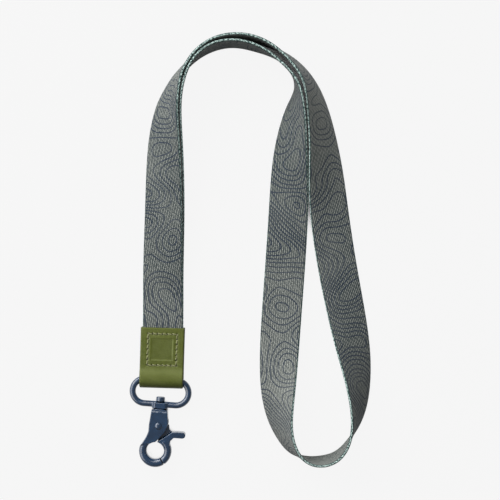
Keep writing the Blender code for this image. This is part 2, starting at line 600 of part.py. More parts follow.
def build():
    """Make every piece in its place."""
    clear_scene()
    webbing = finish("grey_webbing", (0.17, 0.17, 0.16), 0.85, 0.0)
    leather = finish("olive_leather", (0.075, 0.078, 0.045), 0.55, 0.0)
    needle_thread = finish("olive_thread", (0.12, 0.12, 0.075), 0.7, 0.0)
    bobbin_thread = finish("olive_bobbin_thread", (0.10, 0.10, 0.065), 0.7, 0.0)
    enamel = [finish(name, (0.055, 0.075, 0.11), 0.35, 0.6)
              for name in ("ring_enamel", "post_enamel", "body_enamel", "rivet_enamel", "trigger_enamel")]
    steel = finish("spring_steel", (0.55, 0.55, 0.55), 0.3, 1.0)

    bar = empty("bar_axis", (TAB_X, BAR_Y, MID_Z))
    webbing_strap(webbing)
    leather_tab(leather, bar)
    stitch_thread("needle_thread", 1, needle_thread, bar)
    stitch_thread("bobbin_thread", -1, bobbin_thread, bar)

    ring_axis = empty("ring_axis", (0.0, 0.0, 0.0), bar, RING_TILT)
    swivel_ring(enamel[0], ring_axis)
    swivel = empty("swivel_axis", (BOSS_SHIFT, -RING_BAR_SPACING - BOSS_DROP, 0.0), ring_axis)
    swivel_post(enamel[1], swivel)
    hook_body(enamel[2], swivel)
    pivot = empty("trigger_axis", (0.0, RIVET_Y, 0.0), swivel)
    pivot_rivet(enamel[3], pivot)
    gate_lever(enamel[4], pivot)
    gate_spring(steel, pivot)


build()
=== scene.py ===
"""Dressed model of a flat webbing neck lanyard with a leather tab and a trigger hook.

Every size is in metres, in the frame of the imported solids: +Z up from the table, +Y up the strap.
"""

import json
import logging
import math
from dataclasses import dataclass, field
from enum import Enum

import bmesh
import bpy
import numpy as np
from mathutils import Matrix, Vector

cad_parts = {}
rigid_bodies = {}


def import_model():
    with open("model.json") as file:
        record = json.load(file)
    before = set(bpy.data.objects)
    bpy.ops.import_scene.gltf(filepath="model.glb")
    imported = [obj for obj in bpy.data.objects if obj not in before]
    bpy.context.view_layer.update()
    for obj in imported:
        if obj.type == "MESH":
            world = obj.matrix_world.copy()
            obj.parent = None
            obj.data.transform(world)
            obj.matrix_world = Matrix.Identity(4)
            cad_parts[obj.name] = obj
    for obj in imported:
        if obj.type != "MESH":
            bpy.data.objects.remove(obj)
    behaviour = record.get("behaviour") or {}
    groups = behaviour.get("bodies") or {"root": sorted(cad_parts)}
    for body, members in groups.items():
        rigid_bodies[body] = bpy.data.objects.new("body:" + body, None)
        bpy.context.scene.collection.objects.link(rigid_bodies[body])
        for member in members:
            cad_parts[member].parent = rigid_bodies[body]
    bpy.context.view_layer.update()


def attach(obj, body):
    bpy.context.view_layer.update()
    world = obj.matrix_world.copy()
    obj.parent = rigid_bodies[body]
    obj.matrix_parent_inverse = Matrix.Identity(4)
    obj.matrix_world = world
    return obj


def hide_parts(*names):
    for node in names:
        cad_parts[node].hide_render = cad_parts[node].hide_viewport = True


MM = 0.001
LOG = logging.getLogger("lanyard")

Colour = tuple[float, float, float]
Place = tuple[float, float, float]
Point = tuple[float, float]

# Sizes that more than one piece follows
STRAP = 1.4 * MM          # thickness of the webbing
SEWN_GAP = 0.3 * MM       # air between the layers inside the tab
LEATHER = 1.2 * MM        # thickness of the leather
TAB_WIDTH = 21.6 * MM
TAB_LENGTH = 25.9 * MM    # from the bar's axis to the tab's open end
WIRE = 2.8 * MM           # thickness of the ring
RING_WIDTH = 25.0 * MM    # inside the ring
BAR_SPACING = 12.3 * MM   # between the axes of the ring's two bars
RING_TILT = -2.5          # how far the ring and the hook hang askew, in degrees
BAR_ROOM = 0.35 * MM      # room round the ring's end arcs inside the fold
DECIMALS = 8              # sizes that are worked out keep this many decimals of a metre

# What follows from them: how far the end arcs leave the bar's line, and the inside of the fold
PAST_BAR = (TAB_WIDTH + BAR_SPACING - RING_WIDTH - WIRE) / 2
ARC_DROP = BAR_SPACING / 2 - math.sqrt((BAR_SPACING / 2) ** 2 - PAST_BAR**2)
SEWN_HALF = STRAP + 1.5 * SEWN_GAP
FOLD_HALF = round(WIRE / 2 + ARC_DROP + BAR_ROOM, DECIMALS)
FOLD_DROP = round(FOLD_HALF + TAB_WIDTH / 2 * math.sin(math.radians(abs(RING_TILT))), DECIMALS)
BAR: Place = (-44.0 * MM, -62.8 * MM, FOLD_HALF + LEATHER)


class Body(Enum):
    """The moving bodies that pieces ride on."""

    STRAP = "strap_and_tab"
    RING = "ring"
    HOOK = "hook"
    TRIGGER = "trigger"


class Slot(Enum):
    """The record's material slots."""

    WEBBING = "webbing"
    LEATHER = "leather"
    THREAD = "thread"
    ENAMEL = "enamel"
    SPRING = "spring_steel"


class Side(Enum):
    """A face of the tab: its front looks up, its back lies on the table."""

    FRONT = 1
    BACK = -1


class Sock:
    """A shader value that Python expressions can use."""

    def __init__(self, graph: "Graph", socket: bpy.types.NodeSocket) -> None:
        """Keep the socket and the graph that it belongs to."""
        self.graph = graph
        self.socket = socket

    def _math(self, operation: str, first: "Sock | float", second: "Sock | float") -> "Sock":
        """One Math node on two values."""
        return self.graph.node("ShaderNodeMath", {"operation": operation}, {0: first, 1: second})

    def __add__(self, other: "Sock | float") -> "Sock":
        """Sum."""
        return self._math("ADD", self, other)

    __radd__ = __add__

    def __mul__(self, other: "Sock | float") -> "Sock":
        """Product."""
        return self._math("MULTIPLY", self, other)

    __rmul__ = __mul__

    def __sub__(self, other: "Sock | float") -> "Sock":
        """Difference."""
        return self._math("SUBTRACT", self, other)

    def __rsub__(self, other: "Sock | float") -> "Sock":
        """Difference from a plain number."""
        return self._math("SUBTRACT", other, self)

    def __truediv__(self, other: "Sock | float") -> "Sock":
        """Quotient."""
        return self._math("DIVIDE", self, other)

    def __mod__(self, other: float) -> "Sock":
        """Remainder that is never below zero."""
        return self._math("FLOORED_MODULO", self, other)

    def __abs__(self) -> "Sock":
        """Size without sign."""
        return self._math("ABSOLUTE", self, 0.0)

    def floor(self) -> "Sock":
        """Next whole number below."""
        return self._math("FLOOR", self, 0.0)

    def cosine(self) -> "Sock":
        """Cosine of an angle in radians."""
        return self._math("COSINE", self, 0.0)

    def root(self) -> "Sock":
        """Square root."""
        return self._math("SQRT", self, 0.0)

    def larger(self, other: "Sock | float") -> "Sock":
        """The larger of two values."""
        return self._math("MAXIMUM", self, other)

    def step(self, low: float, high: float) -> "Sock":
        """A smooth step from 0 at low to 1 at high; low may be the larger.

        Args:
            low: Value where the step is 0.
            high: Value where the step is 1.

        Returns:
            The step, between 0 and 1.
        """
        settings = {"interpolation_type": "SMOOTHSTEP"}
        if low < high:
            return self.graph.node("ShaderNodeMapRange", settings, {0: self, 1: low, 2: high, 3: 0.0, 4: 1.0})
        return self.graph.node("ShaderNodeMapRange", settings, {0: self, 1: high, 2: low, 3: 1.0, 4: 0.0})


class Graph:
    """The node tree of one material."""

    def __init__(self, name: str) -> None:
        """Make the material, with its Principled shader.

        Args:
            name: The material's name.
        """
        self.material = bpy.data.materials.new(name)
        self.material.use_nodes = True
        self.tree = self.material.node_tree
        self.shader = self.tree.nodes["Principled BSDF"]
        self.output = self.tree.nodes["Material Output"]

    def node(self, kind: str, settings: dict | None = None, inputs: dict | None = None,
             output: int | str = 0) -> Sock:
        """Add one node.

        Args:
            kind: The node's type.
            settings: Its own settings, set before its sockets.
            inputs: Values or links of its sockets, by number or name.
            output: The socket that comes back.

        Returns:
            That output.
        """
        node = self.tree.nodes.new(kind)
        for key, value in (settings or {}).items():
            setattr(node, key, value)
        for key, value in (inputs or {}).items():
            self.feed(node.inputs[key], value)
        return Sock(self, node.outputs[output])

    def feed(self, target: bpy.types.NodeSocket, value: "Sock | float | Colour") -> None:
        """Link a value to a socket, or set it there.

        Args:
            target: The socket.
            value: A shader value to link, or a number or colour to set.
        """
        if isinstance(value, Sock):
            self.tree.links.new(value.socket, target)
        elif isinstance(value, tuple) and target.type == "RGBA":
            target.default_value = (*value, 1.0)
        else:
            target.default_value = value

    def attribute(self, name: str) -> Sock:
        """A number that the mesh carries at its points."""
        return self.node("ShaderNodeAttribute", {"attribute_name": name}, output="Fac")

    def place(self) -> Sock:
        """The point in the object's own frame, in metres."""
        return self.node("ShaderNodeTexCoord", output="Object")

    def vector(self, x: Sock | float, y: Sock | float, z: Sock | float) -> Sock:
        """A vector of three values."""
        return self.node("ShaderNodeCombineXYZ", {}, {0: x, 1: y, 2: z})

    def noise(self, where: Sock, size: float, detail: float = 2.0) -> Sock:
        """Soft noise between 0 and 1.

        Args:
            where: The point.
            size: How large its patches are, in the point's units.
            detail: Layers of finer noise.

        Returns:
            The noise.
        """
        return self.node("ShaderNodeTexNoise", {"noise_dimensions": "3D"},
                         {"Vector": where, "Scale": 1.0 / size, "Detail": detail})

    def mix(self, share: Sock | float, first: "Sock | Colour", second: "Sock | Colour") -> Sock:
        """A colour between two colours."""
        return self.node("ShaderNodeMix", {"data_type": "RGBA"}, {0: share, 6: first, 7: second}, output=2)

    def bump(self, height: Sock, depth: float, strength: float = 1.0) -> Sock:
        """A normal from a height.

        Args:
            height: Height between 0 and 1.
            depth: What a height of 1 stands for, in metres.
            strength: How much of the bump shows.

        Returns:
            The normal.
        """
        return self.node("ShaderNodeBump", {}, {"Strength": strength, "Distance": depth, "Height": height})

    def openness(self, reach: float) -> Sock:
        """How much of the sky a point sees within a reach, between 0 and 1."""
        return self.node("ShaderNodeAmbientOcclusion", {"samples": 16}, {"Distance": reach}, output="AO")

    def dress(self, **sockets: "Sock | float | Colour") -> bpy.types.Material:
        """Set the Principled shader's sockets.

        Args:
            **sockets: A value or link for each socket, named with _ for a space.

        Returns:
            The material.
        """
        for key, value in sockets.items():
            self.feed(self.shader.inputs[key.replace("_", " ")], value)
        return self.material


@dataclass(frozen=True)
class WebbingFinish:
    """Woven polyester with a printed contour pattern and light bound edges."""

    light_yarn: Colour = (0.422, 0.437, 0.400)
    dark_yarn: Colour = (0.017, 0.035, 0.043)
    print_ink: Colour = (0.022, 0.036, 0.070)
    edge_light: Colour = (0.640, 0.820, 0.770)
    edge_shade: Colour = (0.050, 0.100, 0.095)
    edge_side: Colour = (0.040, 0.068, 0.066)
    column: float = 0.95 * MM
    slant: float = 0.15
    float_length: float = 2.6 * MM
    float_shift: float = 0.38
    fleck_size: float = 0.8 * MM
    fibre_size: float = 1.0 * MM
    worn_size: float = 24.0 * MM
    worn_share: float = 0.12
    weave_depth: float = 0.16 * MM
    line_width: float = 0.55 * MM
    line_steps: float = 19.0
    line_share: float = 0.9
    pattern_size: float = 23.0 * MM
    pattern_detail: float = 0.15
    slope_reach: float = 0.3 * MM
    edge_pitch: float = 2.0 * MM
    edge_turn: float = 2.0
    twist_size: float = 1.1 * MM
    drift: float = 0.11
    drift_length: float = 250.0 * MM
    drift_peak: float = 460.0 * MM

    def contour(self, graph: Graph, across: Sock, along: Sock) -> Sock:
        """Contour lines of one width, from soft noise.

        Args:
            graph: The material.
            across: Place across the strap.
            along: Place along the strap.

        Returns:
            1 on a line, 0 elsewhere.
        """
        reach = self.slope_reach
        places = [graph.vector(across + dx, along + dy, 0.0)
                  for dx, dy in ((0.0, 0.0), (reach, 0.0), (0.0, reach))]
        heights = [graph.noise(place, self.pattern_size, self.pattern_detail) for place in places]
        rise_x, rise_y = heights[1] - heights[0], heights[2] - heights[0]
        slope = (rise_x * rise_x + rise_y * rise_y).root().larger(1e-4)
        away = abs((heights[0] * self.line_steps) % 1.0 - 0.5)
        distance = away / self.line_steps / slope * reach
        return distance.step(0.75 * self.line_width, 0.3 * self.line_width)

    def make(self) -> bpy.types.Material:
        """Build the material.

        Returns:
            The material.
        """
        graph = Graph("printed_webbing")
        across, along = graph.attribute("across"), graph.attribute("along")
        front, edge, bound = (graph.attribute(name) for name in ("front", "edge", "round"))
        lane = (across + along * self.slant) / self.column
        yarn = abs(lane % 1.0 - 0.5)
        beat = along / self.float_length + lane.floor() * self.float_shift
        lift = abs(beat % 1.0 - 0.5)
        fleck = graph.noise(graph.vector(across, along * 0.35, 0.0), self.fleck_size)
        fibre = graph.noise(graph.vector(across * 5.0, along, 0.0), self.fibre_size)
        over = (lift + (fleck - 0.5) * 0.9).step(0.42, 0.20)
        crown = yarn.step(0.40, 0.12)
        tone = crown * (0.45 + 0.55 * over)
        drift = ((along - self.drift_peak) * (math.tau / self.drift_length)).cosine() * self.drift
        body = graph.mix(tone * 0.75 + fibre * 0.2 + drift, self.dark_yarn, self.light_yarn)
        ink = self.contour(graph, across, along) * front * (0.7 + 0.3 * crown)
        body = graph.mix(ink * self.line_share, body, self.print_ink)
        worn = graph.noise(graph.place(), self.worn_size).step(0.4, 0.75)
        body = graph.mix(worn * self.worn_share, body, self.light_yarn)
        wrap = abs((along / self.edge_pitch + bound * self.edge_turn) % 1.0 - 0.5)
        twist = graph.noise(graph.vector(bound * STRAP, along, across), self.twist_size)
        dash = (wrap + (twist - 0.5) * 2.2).step(0.38, 0.14)
        rim = graph.mix(dash, self.edge_shade, self.edge_light)
        rim = graph.mix(edge.step(0.95, 0.6), rim, self.edge_side)
        selvedge = edge.step(0.1, 0.5)
        colour = graph.mix(selvedge, body, rim)
        height = tone * 0.75 + fibre * 0.25 + dash * selvedge * 0.5
        return graph.dress(Base_Color=colour, Roughness=0.78 + 0.14 * fleck,
                           Normal=graph.bump(height, self.weave_depth, 0.75),
                           Sheen_Weight=0.12, Sheen_Roughness=0.5, Specular_IOR_Level=0.15)


@dataclass(frozen=True)
class LeatherFinish:
    """Smooth dyed leather with fine pores.

    It is darker in pressed places and along cut edges. Painted shade darkens the end of the fold and the
    needle holes; a painted highlight lightens a band above the fold and the rim of the pressed square.
    """

    dye: Colour = (0.128, 0.157, 0.0180)
    deep: Colour = (0.050, 0.060, 0.009)
    pale: Colour = (0.187, 0.219, 0.053)
    core: Colour = (0.052, 0.058, 0.022)
    # Near black: painted shade inside the needle holes
    hole: Colour = (0.012, 0.014, 0.006)
    pore: float = 0.42 * MM
    cloud_size: float = 5.0 * MM
    fine_size: float = 0.5 * MM
    grain_depth: float = 0.05 * MM
    # Where the painted highlight band rises and fades, measured up from the end of the fold
    highlight_band_start: tuple[float, float] = (3.0 * MM, 6.0 * MM)
    highlight_band_end: tuple[float, float] = (11.0 * MM, 7.5 * MM)
    fold_shade: float = 4.5 * MM

    def make(self) -> bpy.types.Material:
        """Build the material.

        Returns:
            The material.
        """
        graph = Graph("olive_leather")
        place = graph.place()
        edge, pressed, hole, fold = (graph.attribute(name) for name in ("edge", "pressed", "hole", "fold"))
        cells = graph.node("ShaderNodeTexVoronoi", {"feature": "DISTANCE_TO_EDGE"},
                           {"Vector": place, "Scale": 1.0 / self.pore}, output="Distance")
        grain = cells.step(0.02, 0.22)
        cloud = graph.noise(place, self.cloud_size, 3.0)
        fine = graph.noise(place, self.fine_size, 3.0)
        colour = graph.mix(cloud.step(0.3, 0.7) * 0.5, self.dye, self.pale)
        colour = graph.mix((1.0 - grain) * 0.30 + fine.step(0.6, 0.3) * 0.22, colour, self.deep)
        colour = graph.mix(pressed * 0.10, colour, self.deep)
        # Painted highlight: a paler line along the rim of the pressed square
        painted_rim_highlight = pressed * (1.0 - pressed)
        colour = graph.mix(painted_rim_highlight * 2.2, colour, self.pale)
        # Painted highlight: a paler band a few millimetres above the fold, where the leather rises over the
        # bar
        lightened = fold.step(*self.highlight_band_start) * fold.step(*self.highlight_band_end)
        colour = graph.mix(lightened * (0.35 + 0.5 * cloud), colour, self.pale)
        # Painted shade: darker towards the end of the fold, where the leather turns under
        colour = graph.mix(fold.step(self.fold_shade, 0.0) * 0.55, colour, self.deep)
        colour = graph.mix(edge.step(0.35, 0.9) * (0.65 + 0.35 * fine), colour, self.core)
        # Painted shade in the needle holes
        colour = graph.mix(hole, colour, self.hole)
        height = grain * 0.6 + fine * 0.4
        return graph.dress(Base_Color=colour, Roughness=0.31 + 0.18 * fine + 0.10 * pressed,
                           Normal=graph.bump(height, self.grain_depth, 0.6), Specular_IOR_Level=0.28)


@dataclass(frozen=True)
class ThreadFinish:
    """Waxed twisted thread."""

    light: Colour = (0.460, 0.470, 0.235)
    dark: Colour = (0.230, 0.240, 0.095)
    fibre_size: float = 0.16 * MM
    fibre_depth: float = 0.04 * MM
    patch_size: float = 1.5 * MM

    def make(self) -> bpy.types.Material:
        """Build the material.

        Returns:
            The material.
        """
        graph = Graph("waxed_thread")
        place = graph.place()
        fibre = graph.noise(place, self.fibre_size)
        patch = graph.noise(place, self.patch_size, 1.0)
        colour = graph.mix(fibre.step(0.35, 0.65) * 0.6 + patch * 0.4, self.dark, self.light)
        return graph.dress(Base_Color=colour, Roughness=0.50 + 0.2 * fibre,
                           Normal=graph.bump(fibre, self.fibre_depth, 0.7))


@dataclass(frozen=True)
class EnamelFinish:
    """Stoved slate blue enamel over a zinc casting, worn a little and given a painted highlight on proud
    edges, with painted shade in gaps.
    """

    paint: Colour = (0.004, 0.042, 0.112)
    deep: Colour = (0.002, 0.028, 0.078)
    # Paler enamel: worn chips, and a painted highlight along proud edges
    lightened: Colour = (0.075, 0.125, 0.190)
    # Near black: painted shade in gaps
    gap_shade: Colour = (0.001, 0.001, 0.002)
    gap_shade_reach: float = 3.5 * MM
    cloud_size: float = 4.0 * MM
    peel_size: float = 0.55 * MM
    peel_depth: float = 0.05 * MM
    speck_size: float = 0.22 * MM

    def make(self) -> bpy.types.Material:
        """Build the material.

        Returns:
            The material.
        """
        graph = Graph("slate_enamel")
        place = graph.place()
        cloud = graph.noise(place, self.cloud_size)
        peel = graph.noise(place, self.peel_size, 1.5)
        speck = graph.noise(place, self.speck_size, 1.0)
        sharp = graph.node("ShaderNodeNewGeometry", output="Pointiness")
        # Proud edges take the paler enamel: a little real wear and a painted highlight
        proud = (sharp + (peel - 0.5) * 0.03).step(0.515, 0.56)
        colour = graph.mix(cloud.step(0.3, 0.7), self.deep, self.paint)
        colour = graph.mix(proud * 0.55, colour, self.lightened)
        colour = graph.mix(speck.step(0.72, 0.8) * 0.25, colour, self.lightened)
        # Painted shade in gaps: darker, rougher and without coat where the point sees little sky within the
        # reach
        gap_shade_share = graph.openness(self.gap_shade_reach).step(0.55, 0.22)
        colour = graph.mix(gap_shade_share, colour, self.gap_shade)
        return graph.dress(Base_Color=colour, Roughness=0.26 + 0.12 * cloud + 0.06 * speck + 0.40 * gap_shade_share,
                           Normal=graph.bump(peel, self.peel_depth, 0.35), Specular_IOR_Level=0.25,
                           Coat_Weight=1.0 - gap_shade_share, Coat_Roughness=0.18, Coat_IOR=1.75)


@dataclass(frozen=True)
class SpringFinish:
    """Drawn spring wire."""

    bright: Colour = (0.46, 0.46, 0.45)
    dull: Colour = (0.22, 0.22, 0.22)
    drawn_size: float = 0.3 * MM
    drawn_depth: float = 0.02 * MM

    def make(self) -> bpy.types.Material:
        """Build the material.

        Returns:
            The material.
        """
        graph = Graph("drawn_wire")
        drawn = graph.noise(graph.place(), self.drawn_size, 3.0)
        colour = graph.mix(drawn, self.dull, self.bright)
        return graph.dress(Base_Color=colour, Roughness=0.24 + 0.2 * drawn, Metallic=1.0,
                           Normal=graph.bump(drawn, self.drawn_depth, 0.4))


@dataclass(frozen=True)
class TableFinish:
    """Pale studio table: its own colour to the camera, with a faint shadow left on it and painted shade in
    its glow inside narrow gaps.
    """

    tone: Colour = (0.980, 0.980, 0.980)
    lit: Colour = (0.300, 0.300, 0.300)
    shadow_share: float = 0.08
    gap_shade_reach: float = 30.0 * MM
    slit_shade_reach: float = 5.0 * MM

    def make(self) -> bpy.types.Material:
        """Build the material.

        Returns:
            The material.
        """
        graph = Graph("studio_table")
        rays = [graph.node("ShaderNodeLightPath", output=name)
                for name in ("Is Camera Ray", "Is Glossy Ray", "Is Transmission Ray")]
        seen = rays[0].larger(rays[1]).larger(rays[2])
        # Painted shade: the table's glow darkens where it sees little sky, in gaps under and between the
        # pieces
        open_sky = (graph.openness(self.gap_shade_reach).step(0.05, 0.22)
                    * graph.openness(self.slit_shade_reach).step(0.15, 0.45))
        glow = graph.node("ShaderNodeEmission", {}, {
            "Color": graph.mix(open_sky, (0.0, 0.0, 0.0), self.tone), "Strength": 1.0})
        graph.dress(Base_Color=self.lit, Roughness=0.9, Specular_IOR_Level=0.0)
        plain = Sock(graph, graph.shader.outputs[0])
        share = seen * (1.0 - self.shadow_share)
        both = graph.node("ShaderNodeMixShader", {}, {0: share, 1: plain, 2: glow})
        graph.feed(graph.output.inputs["Surface"], both)
        return graph.material


def smooth(value: np.ndarray, low: float, high: float) -> np.ndarray:
    """A smooth step from 0 at low to 1 at high, on an array."""
    share = np.clip((value - low) / (high - low), 0.0, 1.0)
    return share * share * (3.0 - 2.0 * share)


def unit(rows: np.ndarray) -> np.ndarray:
    """Rows of vectors, each at length 1."""
    return rows / np.linalg.norm(rows, axis=1)[:, None]


def dressed(name: str, mesh: bpy.types.Mesh, material: bpy.types.Material) -> bpy.types.Object:
    """Put a mesh into the scene as one smooth piece.

    Args:
        name: The piece's name.
        mesh: Its mesh, in the model's frame.
        material: Its finish.

    Returns:
        The piece.
    """
    mesh.materials.clear()
    mesh.materials.append(material)
    mesh.shade_smooth()
    piece = bpy.data.objects.new(name, mesh)
    bpy.context.scene.collection.objects.link(piece)
    return piece


def fitted(piece: bpy.types.Object, body: Body, node: str) -> bpy.types.Object:
    """Set a piece on its body, in place of its solid.

    Args:
        piece: The piece.
        body: The body that it rides on.
        node: The solid that it stands for.

    Returns:
        The piece.
    """
    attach(piece, body.value)
    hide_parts(node)
    return piece


def grid_mesh(name: str, points: np.ndarray, ends: bool, numbers: dict[str, np.ndarray]) -> bpy.types.Mesh:
    """Skin rows of closed sections.

    Args:
        name: The mesh's name.
        points: Points as [row, place round the section, xyz].
        ends: Whether the first and last sections are closed off; if not, the rows close on themselves.
        numbers: Values to carry at the points, as [row, place], by name.

    Returns:
        The closed mesh.
    """
    rows, places = points.shape[:2]
    index = np.arange(rows * places).reshape(rows, places)
    near = index[:-1] if ends else index
    far = index[1:] if ends else np.roll(index, -1, axis=0)
    quads = np.stack([near, np.roll(near, -1, axis=1), np.roll(far, -1, axis=1), far], axis=-1)
    faces = quads.reshape(-1, 4).tolist()
    if ends:
        faces += [index[0][::-1].tolist(), index[-1].tolist()]
    mesh = bpy.data.meshes.new(name)
    mesh.from_pydata(points.reshape(-1, 3).tolist(), [], faces)
    for key, values in numbers.items():
        layer = mesh.attributes.new(key, "FLOAT", "POINT")
        layer.data.foreach_set("value", values.ravel().astype(np.float32))
    bm = bmesh.new()
    bm.from_mesh(mesh)
    bmesh.ops.recalc_face_normals(bm, faces=bm.faces)
    bm.to_mesh(mesh)
    bm.free()
    return mesh


def tube_points(path: np.ndarray, radius: float, sides: int) -> np.ndarray:
    """Round sections square to an open path.

    Args:
        path: Points of the middle line.
        radius: Radius of the sections.
        sides: Points round each section.

    Returns:
        Points as [row, place, xyz].
    """
    along = unit(np.gradient(path, axis=0))
    across = np.zeros_like(path)
    guess = np.array([0.0, 0.0, 1.0]) if abs(along[0, 2]) < 0.9 else np.array([1.0, 0.0, 0.0])
    for i, ahead in enumerate(along):
        guess = guess - ahead * guess.dot(ahead)
        guess = guess / np.linalg.norm(guess)
        across[i] = guess
    side = np.cross(along, across)
    angles = 2 * np.pi * np.arange(sides) / sides
    ring = across[:, None] * np.cos(angles)[None, :, None] + side[:, None] * np.sin(angles)[None, :, None]
    return path[:, None] + radius * ring


@dataclass
class Ribbon:
    """A flat strip of some width and thickness with rounded long edges, swept along a line."""

    width: float
    thickness: float
    face_points: int
    edge_points: int = 5

    def section(self) -> tuple[np.ndarray, np.ndarray, np.ndarray]:
        """The section's points.

        Returns:
            Place across, height from the middle, and how far round the edge each point is (0 to 1).
        """
        half, flat = self.thickness / 2, self.width / 2 - self.thickness / 2
        face = np.linspace(flat, -flat, self.face_points)
        turn = np.pi * np.arange(1, self.edge_points + 1) / (self.edge_points + 1)
        across = np.concatenate([face, -flat - half * np.sin(turn), face[::-1], flat + half * np.sin(turn)])
        height = np.concatenate([0 * face + half, half * np.cos(turn), 0 * face - half, -half * np.cos(turn)])
        edge = np.concatenate([0 * face, np.sin(turn), 0 * face, np.sin(turn)])
        return across, height, edge


@dataclass
class WebbingStrap:
    """One length of webbing: out of the tab, round the neck loop and back into the tab."""

    width: float = 20.0 * MM
    thickness: float = STRAP
    layer_gap: float = 0.4 * MM
    sewn_gap: float = SEWN_GAP
    step: float = 0.5 * MM
    face_points: int = 12
    bound_edge: float = 0.06 * MM
    bar: Place = BAR
    strap_end: float = 5.0 * MM
    tab_length: float = TAB_LENGTH
    finish: WebbingFinish = field(default_factory=WebbingFinish)
    # Stations from the tab's mouth round and back to it: x and y in mm, lean of the strap's width from
    # upright in degrees, and how many layers of strap lie under it
    route: tuple[tuple[float, float, float, float], ...] = (
        (-44.7, -17.2, 85, 1), (-45.4, 22.8, 70, 1), (-45.9, 52.8, 55, 1), (-44.6, 72.3, 35, 1),
        (-40.2, 86.8, 16, 0.5), (-33.6, 96.6, 5, 0), (-23.5, 104.1, 0, 0), (-10.0, 107.0, 0, 0),
        (3.5, 104.2, 4, 0), (15.0, 97.4, 13, 0), (23.6, 87.8, 20, 0), (28.9, 73.8, 33.5, 0),
        (32.8, 54.5, 49, 0), (36.0, 29.3, 72, 0), (43.2, -11.2, 78, 0), (50.0, -42.2, 62, 0),
        (53.1, -61.2, 41, 0), (53.0, -78.2, 21, 0), (49.2, -90.2, 5, 0), (43.8, -97.0, -1, 0),
        (35.5, -100.0, -3, 0), (28.3, -99.2, 3, 0), (22.8, -95.8, 13, 0), (18.2, -88.8, 23, 0),
        (14.6, -74.2, 45, 0), (13.9, -54.2, 68, 0), (15.1, -19.2, 84, 0), (16.5, 27.8, 73, 0),
        (16.8, 54.8, 49, 0), (18.5, 74.3, 22, 0), (18.1, 85.8, -1, 0), (10.8, 95.6, -9, 0),
        (-1.4, 101.9, -1.5, 0), (-13.0, 104.0, 0, 0), (-24.2, 101.5, 0, 0), (-32.8, 94.9, -5, 0),
        (-39.0, 84.4, -17, 0), (-42.8, 72.8, -34, 0), (-44.4, 52.8, -54, 0), (-44.3, 22.8, -70, 0),
        (-44.5, -17.2, -86, 0),
    )

    def stations(self) -> np.ndarray:
        """Stations of the whole strap, with the ones inside the tab.

        Returns:
            x, y, lift above the table and lean of each station, in metres and radians.
        """
        bar_x, bar_y, middle = self.bar
        half_step = (self.thickness + self.sewn_gap) / 2
        inside = [bar_y + self.strap_end, bar_y + (self.strap_end + self.tab_length) / 2,
                  bar_y + self.tab_length]
        upper = middle + half_step - self.thickness / 2
        lower = middle - half_step - self.thickness / 2
        layer = self.thickness + self.layer_gap
        rows = [(bar_x, y, upper, math.pi / 2) for y in inside]
        for x, y, lean, layers in self.route:
            angle = math.radians(lean)
            rows.append((x * MM, y * MM, layers * layer * abs(math.sin(angle)), angle))
        rows += [(bar_x, y, lower, -math.pi / 2) for y in reversed(inside)]
        return np.array(rows)

    def curve(self) -> np.ndarray:
        """A natural cubic curve through the stations, with the lift eased from station to station.

        Returns:
            x, y, lift and lean at even steps along it.
        """
        rows = self.stations()
        steps = np.linalg.norm(np.diff(rows[:, :2], axis=0), axis=1)
        reach = np.concatenate([[0.0], np.cumsum(steps)])
        count = len(rows)
        system, right = np.eye(count), np.zeros_like(rows)
        for i in range(1, count - 1):
            system[i, i - 1:i + 2] = steps[i - 1], 2 * (steps[i - 1] + steps[i]), steps[i]
            right[i] = 6 * ((rows[i + 1] - rows[i]) / steps[i] - (rows[i] - rows[i - 1]) / steps[i - 1])
        bend = np.linalg.solve(system, right)
        along = np.linspace(0.0, reach[-1], round(reach[-1] / self.step) + 1)
        at = np.clip(np.searchsorted(reach, along) - 1, 0, count - 2)
        b = ((along - reach[at]) / steps[at])[:, None]
        a = 1 - b
        curve = (a * rows[at] + b * rows[at + 1]
                 + ((a**3 - a) * bend[at] + (b**3 - b) * bend[at + 1]) * steps[at][:, None] ** 2 / 6)
        curve[:, 2] = rows[at, 2] + (rows[at + 1, 2] - rows[at, 2]) * smooth(b[:, 0], 0.0, 1.0)
        return curve

    def build(self) -> bpy.types.Object:
        """Make the strap.

        Returns:
            The dressed strap.
        """
        curve = self.curve()
        lean = curve[:, 3:]
        centre = curve[:, :3].copy()
        centre[:, 2:] += self.thickness / 2 * np.abs(np.sin(lean)) + self.width / 2 * np.cos(lean)
        along = unit(np.gradient(centre, axis=0))
        right = unit(np.stack([along[:, 1], -along[:, 0], 0 * along[:, 0]], axis=1))
        across = np.cos(lean) * np.array([0.0, 0.0, 1.0]) + np.sin(lean) * right
        across = unit(across - (across * along).sum(axis=1)[:, None] * along)
        face = np.cross(across, along)
        u, v, edge = Ribbon(self.width - 2 * self.bound_edge, self.thickness, self.face_points).section()
        bound = (v / self.thickness)[None]
        travelled = np.concatenate([[0.0], np.cumsum(np.linalg.norm(np.diff(centre, axis=0), axis=1))])
        wrap = np.cos(2 * np.pi * (travelled[:, None] / self.finish.edge_pitch + bound))
        out = np.sign(u)[None] * edge[None] * self.bound_edge * (0.5 + 0.5 * wrap)
        points = (centre[:, None] + across[:, None] * (u[None] + out)[..., None]
                  + face[:, None] * v[None, :, None])
        values = {"across": u[None], "edge": edge[None], "round": bound, "along": travelled[:, None],
                  "front": (v > 0)[None].astype(float)}
        numbers = {key: np.broadcast_to(value, points.shape[:2]) for key, value in values.items()}
        mesh = grid_mesh("printed_strap", points, True, numbers)
        strap = dressed("printed_strap", mesh, self.finish.make())
        fitted(strap, Body.STRAP, "webbing_strap")
        return strap


